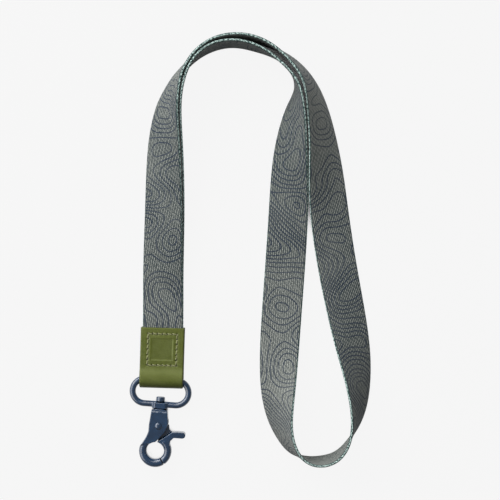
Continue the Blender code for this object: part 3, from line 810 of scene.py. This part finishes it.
@dataclass
class LeatherTab:
    """A strip of leather folded round the ring's bar and sewn over the strap's two ends."""

    width: float = TAB_WIDTH
    length: float = TAB_LENGTH
    thickness: float = LEATHER
    sewn_start: float = 6.6 * MM
    sewn_half: float = SEWN_HALF
    fold_half: float = FOLD_HALF
    fold_drop: float = FOLD_DROP
    fold_points: int = 48
    fold_flat: float = 0.3
    panel_side: float = 10.6 * MM
    panel_depth: float = 0.18 * MM
    panel_slope: tuple[float, float] = (-0.12 * MM, 0.45 * MM)
    lip_offset: float = 0.5 * MM
    lip_width: float = 0.35 * MM
    lip_height: float = 0.07 * MM
    groove_width: float = 0.6 * MM
    groove_depth: float = 0.16 * MM
    groove_start: float = 1.0 * MM
    stitch_width: float = 14.3 * MM
    stitch_height: float = 15.5 * MM
    stitch_top_margin: float = 3.0 * MM
    stitch_count: int = 6
    stitch_points: int = 15
    stitch_inset: float = 0.10
    stitch_skew: float = 0.42 * MM
    stitch_rise: float = 0.42 * MM
    stitch_sink: float = 0.36 * MM
    thread: float = 0.60 * MM
    strand_turns: float = 1.25
    strand_offset: float = 0.25
    strand_radius: float = 0.29
    strand_sides: int = 8
    hole_reach: float = 0.385 * MM
    hole_depth: float = 0.45 * MM
    end_thinning: float = 0.30
    end_rows: float = 2.0
    bar: Place = BAR
    step: float = 0.28 * MM
    face_points: int = 74
    finish: LeatherFinish = field(default_factory=LeatherFinish)
    thread_finish: ThreadFinish = field(default_factory=ThreadFinish)

    def profile(self) -> np.ndarray:
        """The middle line of the folded leather in side view.

        Returns:
            (y, z) points from the bar's axis, from the front end round to the back end.
        """
        grow = self.thickness / 2
        flat_end = self.fold_flat * self.sewn_start
        y = np.linspace(self.length, 0.0, round(self.length / self.step))
        rise = smooth(-y, -self.sewn_start, -flat_end)
        z = self.sewn_half + (self.fold_half - self.sewn_half) * rise + grow
        turn = np.linspace(0.0, math.pi, self.fold_points)[1:-1]
        drop, half = self.fold_drop + grow, self.fold_half + grow
        fold = np.stack([-drop * np.sin(turn), half * np.cos(turn)], axis=1)
        front = np.stack([y, z], axis=1)
        return np.concatenate([front, fold, front[::-1] * (1.0, -1.0)])

    def holes(self) -> list[Point]:
        """Needle holes round the stitched square.

        Returns:
            (x, y) of each hole from the bar's middle, in sewing order.
        """
        top = self.length - self.stitch_top_margin
        low, half = top - self.stitch_height, self.stitch_width / 2
        corners = [(-half, low), (half, low), (half, top), (-half, top)]
        found = []
        for (x0, y0), (x1, y1) in zip(corners, corners[1:] + corners[:1]):
            for k in range(self.stitch_count):
                share = k / self.stitch_count
                found.append((x0 + (x1 - x0) * share, y0 + (y1 - y0) * share))
        return found

    def build_tab(self) -> bpy.types.Object:
        """Make the leather, with its pressed panel, seam groove and needle holes.

        Returns:
            The dressed leather.
        """
        line = self.profile()
        rows = len(line)
        centre = np.stack([np.zeros(rows), line[:, 0], line[:, 1]], axis=1)
        along = unit(np.gradient(centre, axis=0))
        across = np.tile((1.0, 0.0, 0.0), (rows, 1))
        face = np.cross(along, across)
        u, v, edge = Ribbon(self.width, self.thickness, self.face_points).section()
        x, y = np.broadcast_arrays(u[None], line[:, :1])
        outer = (v > 0.3 * self.thickness)[None]
        front, back = (line[:, 1:] > 0) & outer, (line[:, 1:] < 0) & outer
        middle = self.length - self.stitch_top_margin - self.stitch_height / 2
        inset = np.maximum(np.abs(x), np.abs(y - middle)) - self.panel_side / 2
        panel = front * smooth(-inset, *self.panel_slope)
        lip = front * np.exp(-((inset - self.lip_offset) / self.lip_width) ** 2)
        seam = np.maximum(np.abs(x) - self.stitch_width / 2, np.abs(y - middle) - self.stitch_height / 2)
        groove = outer * np.exp(-(seam / self.groove_width) ** 2) * (y > self.sewn_start - self.groove_start)
        hole = np.zeros_like(groove)
        for hx, hy in self.holes():
            away = ((x - hx) ** 2 + (y - hy) ** 2) / self.hole_reach**2
            hole = np.maximum(hole, np.exp(-away))
        hole = hole * (front | back)
        sunk = (self.panel_depth * panel - self.lip_height * lip + self.groove_depth * groove
                + self.hole_depth * hole)
        ends = np.minimum(np.arange(rows), np.arange(rows)[::-1])[:, None]
        thin = 1.0 - self.end_thinning * np.clip(1.0 - ends / self.end_rows, 0.0, 1.0) ** 2
        height = v[None] * thin - sunk
        points = centre[:, None] + across[:, None] * x[..., None] + face[:, None] * height[..., None]
        points = points + np.array(self.bar)
        cut = np.maximum(np.broadcast_to(edge[None], x.shape), (ends < 1) * 0.8)
        numbers = {"edge": cut, "pressed": np.clip(panel + 0.6 * groove, 0.0, 1.0),
                   "hole": np.clip(1.3 * hole, 0, 1), "fold": y - y.min()}
        mesh = grid_mesh("folded_leather", points, True, numbers)
        tab = dressed("folded_leather", mesh, self.finish.make())
        return fitted(tab, Body.STRAP, "leather_tab")

    def stitch(self, start: Point, end: Point, side: Side) -> list[np.ndarray]:
        """Two twisted strands of one stitch.

        Args:
            start: Needle hole where it comes up.
            end: Needle hole where it goes down.
            side: The face that it lies on.

        Returns:
            Points of each strand's sections, from the bar's axis.
        """
        t = np.linspace(0.0, 1.0, self.stitch_points)
        surface = self.sewn_half + self.thickness
        lead = np.array(end) - np.array(start)
        skew = np.array([-lead[1], lead[0]]) / np.linalg.norm(lead) * self.stitch_skew
        share = self.stitch_inset + (1.0 - 2 * self.stitch_inset) * t
        flat = np.array(start) + np.outer(share, lead) + np.outer(0.5 - t, skew)
        rise = np.sin(np.pi * t) ** 0.55 * self.stitch_rise - self.stitch_sink
        line = np.stack([flat[:, 0], flat[:, 1], side.value * (surface + rise)], axis=1)
        along = unit(np.gradient(line, axis=0))
        up = np.tile((0.0, 0.0, float(side.value)), (len(t), 1))
        across = unit(np.cross(along, up))
        lift = np.cross(across, along)
        strands = []
        for phase in (0.0, np.pi):
            turn = 2 * np.pi * self.strand_turns * t + phase
            coil = across * np.cos(turn)[:, None] + lift * np.sin(turn)[:, None]
            path = line + self.strand_offset * self.thread * coil
            strands.append(tube_points(path, self.strand_radius * self.thread, self.strand_sides))
        return strands

    def build_stitches(self, name: str, side: Side, node: str) -> bpy.types.Object:
        """Make the row of stitches on one face.

        Args:
            name: The piece's name.
            side: The face.
            node: The solid that the row stands for.

        Returns:
            The dressed row.
        """
        holes = self.holes()
        bm = bmesh.new()
        for start, end in zip(holes, holes[1:] + holes[:1]):
            for strand in self.stitch(start, end, side):
                part = grid_mesh("strand", strand + np.array(self.bar), True, {})
                bm.from_mesh(part)
                bpy.data.meshes.remove(part)
        mesh = bpy.data.meshes.new(name)
        bm.to_mesh(mesh)
        bm.free()
        row = dressed(name, mesh, self.thread_finish.make())
        return fitted(row, Body.STRAP, node)

    def build(self) -> list[bpy.types.Object]:
        """Make the leather and both rows of stitches.

        Returns:
            The leather, then the rows.
        """
        tab = self.build_tab()
        rows = [self.build_stitches("front_stitches", Side.FRONT, "needle_thread"),
                self.build_stitches("back_stitches", Side.BACK, "bobbin_thread")]
        flat = float(np.linalg.norm(np.diff(self.profile(), axis=0), axis=1).sum())
        return [tab, *rows]


class Casting:
    """A solid that is put together from simple closed shapes and then softened like a casting."""

    EASE = 0.5

    def __init__(self, name: str) -> None:
        """Start with nothing.

        Args:
            name: The finished mesh's name.
        """
        self.name = name
        self.base: bpy.types.Object | None = None
        self.others: list[bpy.types.Object] = []

    def shape(self, mesh: bpy.types.Mesh, operation: str = "UNION") -> None:
        """Join a closed mesh on, or cut it out.

        Args:
            mesh: The closed mesh.
            operation: UNION or DIFFERENCE.
        """
        part = bpy.data.objects.new(self.name + "_part", mesh)
        bpy.context.scene.collection.objects.link(part)
        if self.base is None:
            self.base = part
            return
        self.others.append(part)
        modifier = self.base.modifiers.new("shape", "BOOLEAN")
        modifier.operation = operation
        modifier.solver = "EXACT"
        modifier.object = part

    def soften(self, voxel: float, passes: int, place: Matrix) -> bpy.types.Mesh:
        """Melt the shapes into one skin with soft edges.

        Args:
            voxel: Size of the skin's cells.
            passes: Rounds of smoothing.
            place: Where the piece goes in the model's frame.

        Returns:
            The skin.
        """
        remesh = self.base.modifiers.new("skin", "REMESH")
        remesh.mode = "VOXEL"
        remesh.voxel_size = voxel
        ease = self.base.modifiers.new("ease", "SMOOTH")
        ease.factor = self.EASE
        ease.iterations = passes
        bpy.context.view_layer.update()
        graph = bpy.context.evaluated_depsgraph_get()
        mesh = bpy.data.meshes.new_from_object(self.base.evaluated_get(graph))
        mesh.name = self.name
        mesh.transform(place)
        for part in [self.base, *self.others]:
            bpy.data.objects.remove(part, do_unlink=True)
        return mesh


def prism(points: list[Point], low: float, high: float, axis: str = "Z") -> bpy.types.Mesh:
    """A closed outline extruded along an axis.

    Args:
        points: The outline.
        low: Where the extrusion starts.
        high: Where it ends.
        axis: Y or Z.

    Returns:
        The closed mesh.
    """
    order = {"Y": (0, 2, 1), "Z": (0, 1, 2)}[axis]
    flat = np.array(points)
    rows = [np.column_stack([flat, np.full(len(flat), level)])[:, order] for level in (low, high)]
    return grid_mesh("prism", np.stack(rows), True, {})


def arc(centre: Point, radius: float, start: float, end: float, steps: int) -> list[Point]:
    """Points on a circular arc, both ends included, with angles in degrees."""
    angles = np.radians(np.linspace(start, end, steps + 1))
    return [(centre[0] + radius * math.cos(a), centre[1] + radius * math.sin(a)) for a in angles]


def bend(start: Point, corner: Point, end: Point, steps: int = 16) -> list[Point]:
    """Points on a smooth curve that leaves towards a corner and comes in from it.

    Args:
        start: Where it starts.
        corner: The corner that it rounds.
        end: Where it ends.
        steps: Number of steps.

    Returns:
        The points, both ends included.
    """
    share = np.linspace(0.0, 1.0, steps + 1)[:, None]
    curve = ((1 - share) ** 2 * np.array(start) + 2 * share * (1 - share) * np.array(corner)
             + share**2 * np.array(end))
    return [tuple(point) for point in curve.tolist()]


def circle(centre: Point, radius: float, sides: int = 48) -> list[Point]:
    """A closed ring of points."""
    return arc(centre, radius, 0.0, 360.0 * (sides - 1) / sides, sides - 1)


def turned(name: str, profile: list[Point], sides: int, place: Matrix) -> bpy.types.Mesh:
    """A solid turned about Z.

    Args:
        name: The mesh's name.
        profile: (radius, height) points from the top of the axis to its foot.
        sides: Points round it.
        place: Where it goes.

    Returns:
        The closed mesh.
    """
    angles = 2 * np.pi * np.arange(sides) / sides
    tiny = 0.02 * MM
    rows = np.array([[(max(r, tiny) * math.cos(a), max(r, tiny) * math.sin(a), h) for a in angles]
                     for r, h in profile])
    mesh = grid_mesh(name, rows, True, {})
    mesh.transform(place)
    return mesh


@dataclass
class TriggerHook:
    """The ring with its boss, the swivel post, and the hook with its sprung trigger."""

    bar: Place = BAR
    tilt: float = RING_TILT
    wire: float = WIRE
    wire_allowance: float = 0.15 * MM
    wire_sides: int = 24
    inner_width: float = RING_WIDTH
    bar_spacing: float = BAR_SPACING
    bend_steps: int = 28
    boss_width: float = 7.8 * MM
    boss_length: float = 2.9 * MM
    boss_drop: float = 0.4 * MM
    boss_shift: float = 0.25 * MM
    boss_thickness: float = 5.4 * MM
    boss_chamfer: float = 1.3 * MM
    post_diameter: float = 2.4 * MM
    head_diameter: float = 4.4 * MM
    head_height: float = 2.2 * MM
    head_edge: float = 0.55 * MM
    head_chamfer: float = 0.25 * MM
    post_depth: float = 3.4 * MM
    post_chamfer: float = 0.2 * MM
    post_sides: int = 56
    running_gap: float = 0.2 * MM
    hook_gap: float = 0.3 * MM
    collar_diameter: float = 6.4 * MM
    collar_height: float = 0.45 * MM
    body_thickness: float = 5.8 * MM
    body_top_width: float = 8.0 * MM
    body_width: float = 9.5 * MM
    body_length: float = 15.9 * MM
    lip_drop: float = 1.0 * MM
    lip_depth: float = 0.35 * MM
    cheek_thickness: float = 1.0 * MM
    cheek_wall: float = 1.2 * MM
    eye_outer: float = 8.05 * MM
    eye_hole: float = 4.33 * MM
    eye_offset: float = -0.7 * MM
    eye_extra: float = 0.25 * MM
    eye_thickness: float = 5.2 * MM
    eye_round: float = 1.75 * MM
    eye_start: float = 112.0
    eye_full: float = 168.0
    eye_start_wall: float = 2.0 * MM
    gate_end: float = 52.0
    seam: float = -54.0
    seam_gap: float = 0.4 * MM
    rivet_drop: float = 7.7 * MM
    neck_drop: float = 3.0 * MM
    neck_flare: float = 0.7 * MM
    rivet: float = 2.0 * MM
    rivet_head: float = 3.2 * MM
    rivet_head_height: float = 0.7 * MM
    rivet_gap: float = 0.15 * MM
    rivet_sides: int = 48
    tongue_thickness: float = 1.2 * MM
    tongue_rim: float = 1.0 * MM
    thumb_reach: float = 13.7 * MM
    thumb_thickness: float = 3.0 * MM
    thumb_rise: float = 8.45 * MM
    wedge: float = 1.5 * MM
    wedge_start: float = 1.4 * MM
    wedge_bend: float = 2.6 * MM
    gate_inset: float = 0.15 * MM
    spring_wire: float = 0.3 * MM
    spring_radius: float = 1.75 * MM
    spring_turns: int = 2
    spring_pitch: float = 0.75 * MM
    spring_start: float = 120.0
    spring_end: float = 40.0
    spring_points: int = 60
    spring_sides: int = 12
    wall_leg: float = 2.7 * MM
    trigger_leg: float = 4.0 * MM
    leg_points: int = 8
    cell: float = 0.17 * MM
    ring_passes: int = 5
    body_passes: int = 20
    trigger_passes: int = 14
    enamel: EnamelFinish = field(default_factory=EnamelFinish)
    steel: SpringFinish = field(default_factory=SpringFinish)

    def __post_init__(self) -> None:
        """Work out the places that follow from the sizes."""
        self.ring_place = Matrix.Translation(self.bar) @ Matrix.Rotation(math.radians(self.tilt), 4, "Z")
        self.swivel_place = self.ring_place @ Matrix.Translation(
            (self.boss_shift, -self.bar_spacing - self.boss_drop, 0.0))
        self.body_top = -self.boss_length / 2 - self.hook_gap - self.collar_height
        self.rivet_y = self.body_top - self.rivet_drop
        self.hole_y = self.body_top - self.body_length - self.eye_hole
        self.slot_half = self.body_thickness / 2 - self.cheek_thickness
        self.paint = self.enamel.make()

    def at_hole(self, degrees: float, radius: float, rise: float = 0.0) -> Point:
        """A point at an angle round the eye's hole, from the boss's middle."""
        angle = math.radians(degrees)
        return (self.eye_offset + radius * math.cos(angle), self.hole_y + rise + radius * math.sin(angle))

    def keep(self, name: str, mesh: bpy.types.Mesh, body: Body, node: str) -> bpy.types.Object:
        """Dress an enamelled piece and set it on its body.

        Args:
            name: The piece's name.
            mesh: Its mesh.
            body: The body that it rides on.
            node: The solid that it stands for.

        Returns:
            The piece.
        """
        return fitted(dressed(name, mesh, self.paint), body, node)

    def build_ring(self) -> bpy.types.Object:
        """Oblong wire ring with a chamfered, bored boss on its lower bar.

        Returns:
            The dressed ring.
        """
        radius = self.bar_spacing / 2
        half = self.inner_width / 2 + self.wire / 2 - radius
        right = arc((half, -radius), radius, 90.0, -90.0, self.bend_steps)
        left = arc((-half, -radius), radius, -90.0, -270.0, self.bend_steps)
        flat = np.array(right + left)
        line = np.column_stack([flat, np.zeros(len(flat))])
        along = unit(np.roll(line, -1, axis=0) - np.roll(line, 1, axis=0))
        up = np.tile((0.0, 0.0, 1.0), (len(along), 1))
        out = np.cross(along, up)
        angles = (2 * np.pi * np.arange(self.wire_sides) / self.wire_sides)[None, :, None]
        section = out[:, None] * np.cos(angles) + up[:, None] * np.sin(angles)
        rows = line[:, None] + (self.wire / 2 + self.wire_allowance) * section
        casting = Casting("oblong_ring")
        casting.shape(grid_mesh("wire", rows, False, {}))
        w, t, c = self.boss_width / 2, self.boss_thickness / 2, self.boss_chamfer
        octagon = [(w - c, -t), (w, c - t), (w, t - c), (w - c, t),
                   (c - w, t), (-w, t - c), (-w, c - t), (c - w, -t)]
        octagon = [(self.boss_shift + x, z) for x, z in octagon]
        low = -self.bar_spacing - self.boss_drop - self.boss_length / 2
        casting.shape(prism(octagon, low, low + self.boss_length, "Y"))
        bore = circle((self.boss_shift, 0.0), self.post_diameter / 2 + self.running_gap)
        casting.shape(prism(bore, low - self.wire, low + self.boss_length + self.wire, "Y"), "DIFFERENCE")
        mesh = casting.soften(self.cell, self.ring_passes, self.ring_place)
        return self.keep("oblong_ring", mesh, Body.RING, "swivel_ring")

    def build_post(self) -> bpy.types.Object:
        """Headed post that the hook turns on.

        Returns:
            The dressed post.
        """
        seat = max(self.boss_length / 2, self.boss_drop + self.wire / 2) + self.running_gap
        head, shank = self.head_diameter / 2, self.post_diameter / 2
        crown, foot = seat + self.head_height, self.body_top - self.post_depth
        edge, under, tip = self.head_edge, self.head_chamfer, self.post_chamfer
        profile = [(0.0, crown), (0.55 * head, crown - 0.02 * MM)]
        profile += [(head - edge + r, crown - edge + h) for r, h in arc((0.0, 0.0), edge, 90.0, 0.0, 8)]
        profile += [(head, seat + under), (head - 0.08 * MM, seat + 0.08 * MM), (head - under, seat),
                    (shank + 0.15 * MM, seat), (shank, seat - 0.02 * MM), (shank, foot + tip),
                    (shank - tip, foot), (0.0, foot)]
        place = self.swivel_place @ Matrix.Rotation(-math.pi / 2, 4, "X")
        mesh = turned("post_and_head", profile, self.post_sides, place)
        return self.keep("post_and_head", mesh, Body.HOOK, "swivel_post")

    def body_outline(self) -> list[Point]:
        """Front view of the hook body without its eye.

        Returns:
            The outline, from the boss's middle.
        """
        top, half = self.body_top_width / 2, self.body_width / 2
        apex = self.at_hole(93, self.eye_hole)
        neck = self.at_hole(165, self.eye_outer, -self.eye_extra)
        middle = 0.5 * (self.eye_hole + self.eye_outer)
        wedge_side = bend((half, self.rivet_y + self.wedge_start),
                          (0.93 * half, self.rivet_y - self.wedge_bend), apex)
        hole_side = [self.at_hole(110, self.eye_hole), self.at_hole(130, self.eye_hole),
                     self.at_hole(148, middle)]
        neck_side = bend(neck, (-half - self.neck_flare, self.hole_y + middle),
                         (-half, self.rivet_y - self.neck_drop))
        return [(top, self.body_top), *wedge_side, *hole_side, *neck_side, (-half, self.rivet_y),
                (-top, self.body_top)]

    def eye_arc(self, start: float, full: float, end: float, steps: int) -> bpy.types.Mesh:
        """Part of the eye, swept round its hole.

        Args:
            start: Angle where it starts, in degrees.
            full: Angle from where on it has its full width.
            end: Angle where it ends.
            steps: Number of sections.

        Returns:
            The closed mesh.
        """
        rows = []
        for degrees in np.linspace(start, end, steps + 1):
            inner = Vector(self.at_hole(degrees, self.eye_hole))
            outer = Vector(self.at_hole(degrees, self.eye_outer, -self.eye_extra))
            wall = (outer - inner).length
            share = min((degrees - start) / (full - start), 1.0) if full > start else 1.0
            outer = inner.lerp(outer, share + (1 - share) * self.eye_start_wall / wall)
            wall = (outer - inner).length
            half, edge = self.eye_thickness / 2, min(self.eye_round, 0.45 * wall)
            upper = arc((wall - edge, half - edge), edge, 0.0, 90.0, 8)
            upper += arc((edge, half - edge), edge, 90.0, 180.0, 8)
            points = upper + [(depth, -height) for depth, height in reversed(upper)]
            rows.append([(*inner.lerp(outer, depth / wall), height) for depth, height in points])
        return grid_mesh("eye_arc", np.array(rows), True, {})

    def build_body(self) -> bpy.types.Object:
        """Cast body: two cheeks with a slot for the trigger, and the fixed part of the eye.

        Returns:
            The dressed body.
        """
        far = 2 * self.body_thickness
        casting = Casting("cast_hook")
        half = self.body_thickness / 2
        casting.shape(prism(self.body_outline(), -half, half))
        casting.shape(self.eye_arc(self.eye_start, self.eye_full, 360 + self.seam, 60))
        collar = circle((0.0, 0.0), self.collar_diameter / 2)
        casting.shape(prism(collar, self.body_top - self.cheek_wall, self.body_top + self.collar_height, "Y"))
        casting.shape(prism(circle((self.eye_offset, self.hole_y), self.eye_hole), -far, far), "DIFFERENCE")
        wide = self.body_width
        ledge = [(-wide, self.body_top - self.lip_drop), (wide, self.body_top - self.lip_drop),
                 (wide, self.body_top + self.lip_drop), (-wide, self.body_top + self.lip_drop)]
        for side in Side:
            casting.shape(prism(ledge, side.value * (half - self.lip_depth), side.value * far), "DIFFERENCE")
        slot_top = self.body_top - self.post_depth - self.cheek_wall
        left = self.cheek_wall - self.body_width / 2
        slot = [(left, slot_top), (self.body_width, slot_top), (self.body_width, self.hole_y),
                (self.eye_offset, self.hole_y), self.at_hole(98, self.eye_hole),
                (left, self.rivet_y - self.spring_radius - self.cheek_wall)]
        casting.shape(prism(slot, -self.slot_half, self.slot_half), "DIFFERENCE")
        bore = circle((0.0, self.rivet_y), self.rivet / 2 + self.rivet_gap)
        casting.shape(prism(bore, -far, far), "DIFFERENCE")
        socket = circle((0.0, 0.0), self.post_diameter / 2 + self.rivet_gap)
        foot = self.body_top - self.post_depth - 2 * self.rivet_gap
        casting.shape(prism(socket, foot, self.body_top + self.post_depth, "Y"), "DIFFERENCE")
        mesh = casting.soften(self.cell, self.body_passes, self.swivel_place)
        return self.keep("cast_hook", mesh, Body.HOOK, "hook_body")

    def build_rivet(self) -> bpy.types.Object:
        """Domed rivet through both cheeks and the trigger.

        Returns:
            The dressed rivet.
        """
        seat = self.body_thickness / 2 + self.rivet_gap
        head, shank = self.rivet_head / 2, self.rivet / 2
        dome = [(head * math.sin(a), seat + self.rivet_head_height * math.cos(a))
                for a in np.linspace(0.0, math.pi / 2, 12)]
        upper = dome + [(head - 0.05 * MM, seat - 0.05 * MM), (shank, seat - 0.05 * MM)]
        profile = upper + [(r, -h) for r, h in reversed(upper)]
        place = self.swivel_place @ Matrix.Translation((0.0, self.rivet_y, 0.0))
        mesh = turned("domed_rivet", profile, self.rivet_sides, place)
        return self.keep("domed_rivet", mesh, Body.HOOK, "pivot_rivet")

    def build_trigger(self) -> bpy.types.Object:
        """Trigger: a tongue in the slot, the thumb piece, and the gate that closes the eye.

        Returns:
            The dressed trigger.
        """
        seam = self.seam + math.degrees(2 * self.seam_gap / (self.eye_hole + self.eye_outer))
        casting = Casting("thumb_trigger")
        casting.shape(self.eye_arc(seam, seam, self.gate_end, 34))
        half = self.thumb_thickness / 2
        thumb_y = self.hole_y + self.thumb_rise
        root_x = self.eye_offset + self.eye_outer
        edge_top = (root_x - 0.3 * half, thumb_y + 0.8 * half)
        outline = [self.at_hole(degrees, self.eye_hole) for degrees in (84, 75, 66, 58, 50, 40, 30, 20, 12)]
        outline += [self.at_hole(14, self.eye_outer - self.eye_round, -self.eye_extra),
                    self.at_hole(30, self.eye_outer, -self.eye_extra),
                    (root_x - 0.6 * half, thumb_y - 2.1 * half), (root_x + 0.4 * half, thumb_y - half)]
        outline += arc((self.thumb_reach - half, thumb_y), half, -90.0, 90.0, 16)
        outline += [(root_x + half, thumb_y + half), edge_top]
        high = self.eye_thickness / 2 - self.gate_inset
        casting.shape(prism(outline, -high, high))
        rim = self.rivet / 2 + self.tongue_rim
        near = self.eye_hole + 0.3 * self.wedge
        tongue = arc((0.0, self.rivet_y), rim, 60.0, 205.0, 20)
        tongue += [self.at_hole(88, near + self.wedge), self.at_hole(78, near), self.at_hole(64, near),
                   self.at_hole(36, near + self.wedge), (edge_top[0] - half, edge_top[1] - half), edge_top,
                   (self.body_width / 2 + self.wedge / 2, self.rivet_y - rim),
                   (self.body_width / 2 + self.wedge / 4, self.rivet_y + 0.2 * rim)]
        low = self.running_gap - self.slot_half
        casting.shape(prism(tongue, low, low + self.tongue_thickness))
        bore = circle((0.0, self.rivet_y), self.rivet / 2 + self.rivet_gap)
        casting.shape(prism(bore, -self.body_thickness, self.body_thickness), "DIFFERENCE")
        mesh = casting.soften(self.cell, self.trigger_passes, self.swivel_place)
        return self.keep("thumb_trigger", mesh, Body.TRIGGER, "gate_lever")

    def build_spring(self) -> bpy.types.Object:
        """Torsion spring round the rivet: one leg by the body's wall, one over the trigger's shoulder.

        Returns:
            The dressed spring.
        """
        first = math.radians(self.spring_start)
        last = math.radians(self.spring_end) - 2 * math.pi * self.spring_turns
        radius = self.spring_radius
        top = self.slot_half - self.running_gap - self.spring_wire / 2
        angles = np.linspace(first, last, self.spring_points)
        drop = self.spring_pitch * (first - angles) / (2 * math.pi)
        line = np.stack([radius * np.cos(angles), radius * np.sin(angles), top - drop], axis=1)
        reach = np.linspace(1.0, 0.1, self.leg_points)[:, None]
        start = line[0] + self.wall_leg * reach * (-math.sin(first), math.cos(first), 0.0)
        end = line[-1] + self.trigger_leg * reach[::-1] * (math.sin(last), -math.cos(last), 0.0)
        path = np.concatenate([start, line, end])
        points = tube_points(path, self.spring_wire / 2, self.spring_sides)
        mesh = grid_mesh("coiled_spring", points, True, {})
        mesh.transform(self.swivel_place @ Matrix.Translation((0.0, self.rivet_y, 0.0)))
        spring = dressed("coiled_spring", mesh, self.steel.make())
        return fitted(spring, Body.HOOK, "gate_spring")

    def build(self) -> list[bpy.types.Object]:
        """Make every metal piece.

        Returns:
            The pieces.
        """
        return [self.build_ring(), self.build_post(), self.build_body(), self.build_rivet(),
                self.build_trigger(), self.build_spring()]


@dataclass
class Studio:
    """Pale table, soft light from the upper left, a card that only shows in gloss, and the camera above."""

    camera_place: Place = (-2.0 * MM, 2.8 * MM, 0.55)
    camera_roll: float = 1.7
    frame_width: float = 0.25
    sensor: float = 36.0
    clip_start: float = 0.01
    table_half: float = 25.0
    key_place: Place = (-0.70, 0.80, 0.60)
    key_size: tuple[float, float] = (1.4, 0.75)
    key_power: float = 17.0
    fill_place: Place = (-0.15, 0.42, 0.95)
    fill_size: tuple[float, float] = (0.5, 0.5)
    fill_power: float = 1.5
    card_place: Place = (-0.95, -0.20, 0.68)
    card_size: tuple[float, float] = (1.3, 1.25)
    card_power: float = 13.0
    sky: float = 0.25
    finish: TableFinish = field(default_factory=TableFinish)

    def build_camera(self) -> None:
        """Set up the camera."""
        data = bpy.data.cameras.new("camera")
        data.sensor_width = self.sensor
        data.lens = self.sensor * self.camera_place[2] / self.frame_width
        data.clip_start = self.clip_start
        camera = bpy.data.objects.new("camera", data)
        camera.location = self.camera_place
        camera.rotation_euler = (0.0, 0.0, math.radians(self.camera_roll))
        bpy.context.scene.collection.objects.link(camera)
        bpy.context.scene.camera = camera

    def build_lamp(self, name: str, place: Place, size: tuple[float, float],
                   power: float) -> bpy.types.Object:
        """One oblong soft lamp that points at the middle of the table.

        Args:
            name: The lamp's name.
            place: Where it hangs.
            size: Its width and height.
            power: Its power in watts.

        Returns:
            The lamp.
        """
        data = bpy.data.lights.new(name, "AREA")
        data.shape = "RECTANGLE"
        data.size, data.size_y = size
        data.energy = power
        lamp = bpy.data.objects.new(name, data)
        lamp.location = place
        lamp.rotation_euler = (-Vector(place)).to_track_quat("-Z", "Y").to_euler()
        bpy.context.scene.collection.objects.link(lamp)
        return lamp

    def build(self) -> None:
        """Make the table, the lamps, the card, the sky and the camera."""
        self.build_camera()
        self.build_lamp("key_lamp", self.key_place, self.key_size, self.key_power)
        self.build_lamp("fill_lamp", self.fill_place, self.fill_size, self.fill_power)
        card = self.build_lamp("gloss_card", self.card_place, self.card_size, self.card_power)
        card.visible_diffuse = False
        world = bpy.data.worlds.new("soft_sky")
        world.use_nodes = True
        back = world.node_tree.nodes["Background"]
        back.inputs["Color"].default_value = (1.0, 1.0, 1.0, 1.0)
        back.inputs["Strength"].default_value = self.sky
        bpy.context.scene.world = world
        bpy.context.scene.view_settings.view_transform = "Standard"
        mesh = bpy.data.meshes.new("table_top")
        near, far = self.table_half, 2 * self.table_half  # the face's diagonal stays out of view
        mesh.from_pydata([(-near, -near, 0.0), (near, -near, 0.0), (near, far, 0.0), (-near, far, 0.0)], [],
                         [(0, 1, 2, 3)])
        dressed("table_top", mesh, self.finish.make())


def main() -> None:
    """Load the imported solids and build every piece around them."""
    logging.basicConfig(level=logging.INFO, format="%(name)s: %(message)s")
    for item in list(bpy.data.objects):
        bpy.data.objects.remove(item, do_unlink=True)
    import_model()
    Studio().build()
    pieces = [WebbingStrap().build(), *LeatherTab().build(), *TriggerHook().build()]
    for piece in pieces:
        LOG.info("%s: %d points", piece.name, len(piece.data.vertices))


if __name__ == "__main__":
    main()
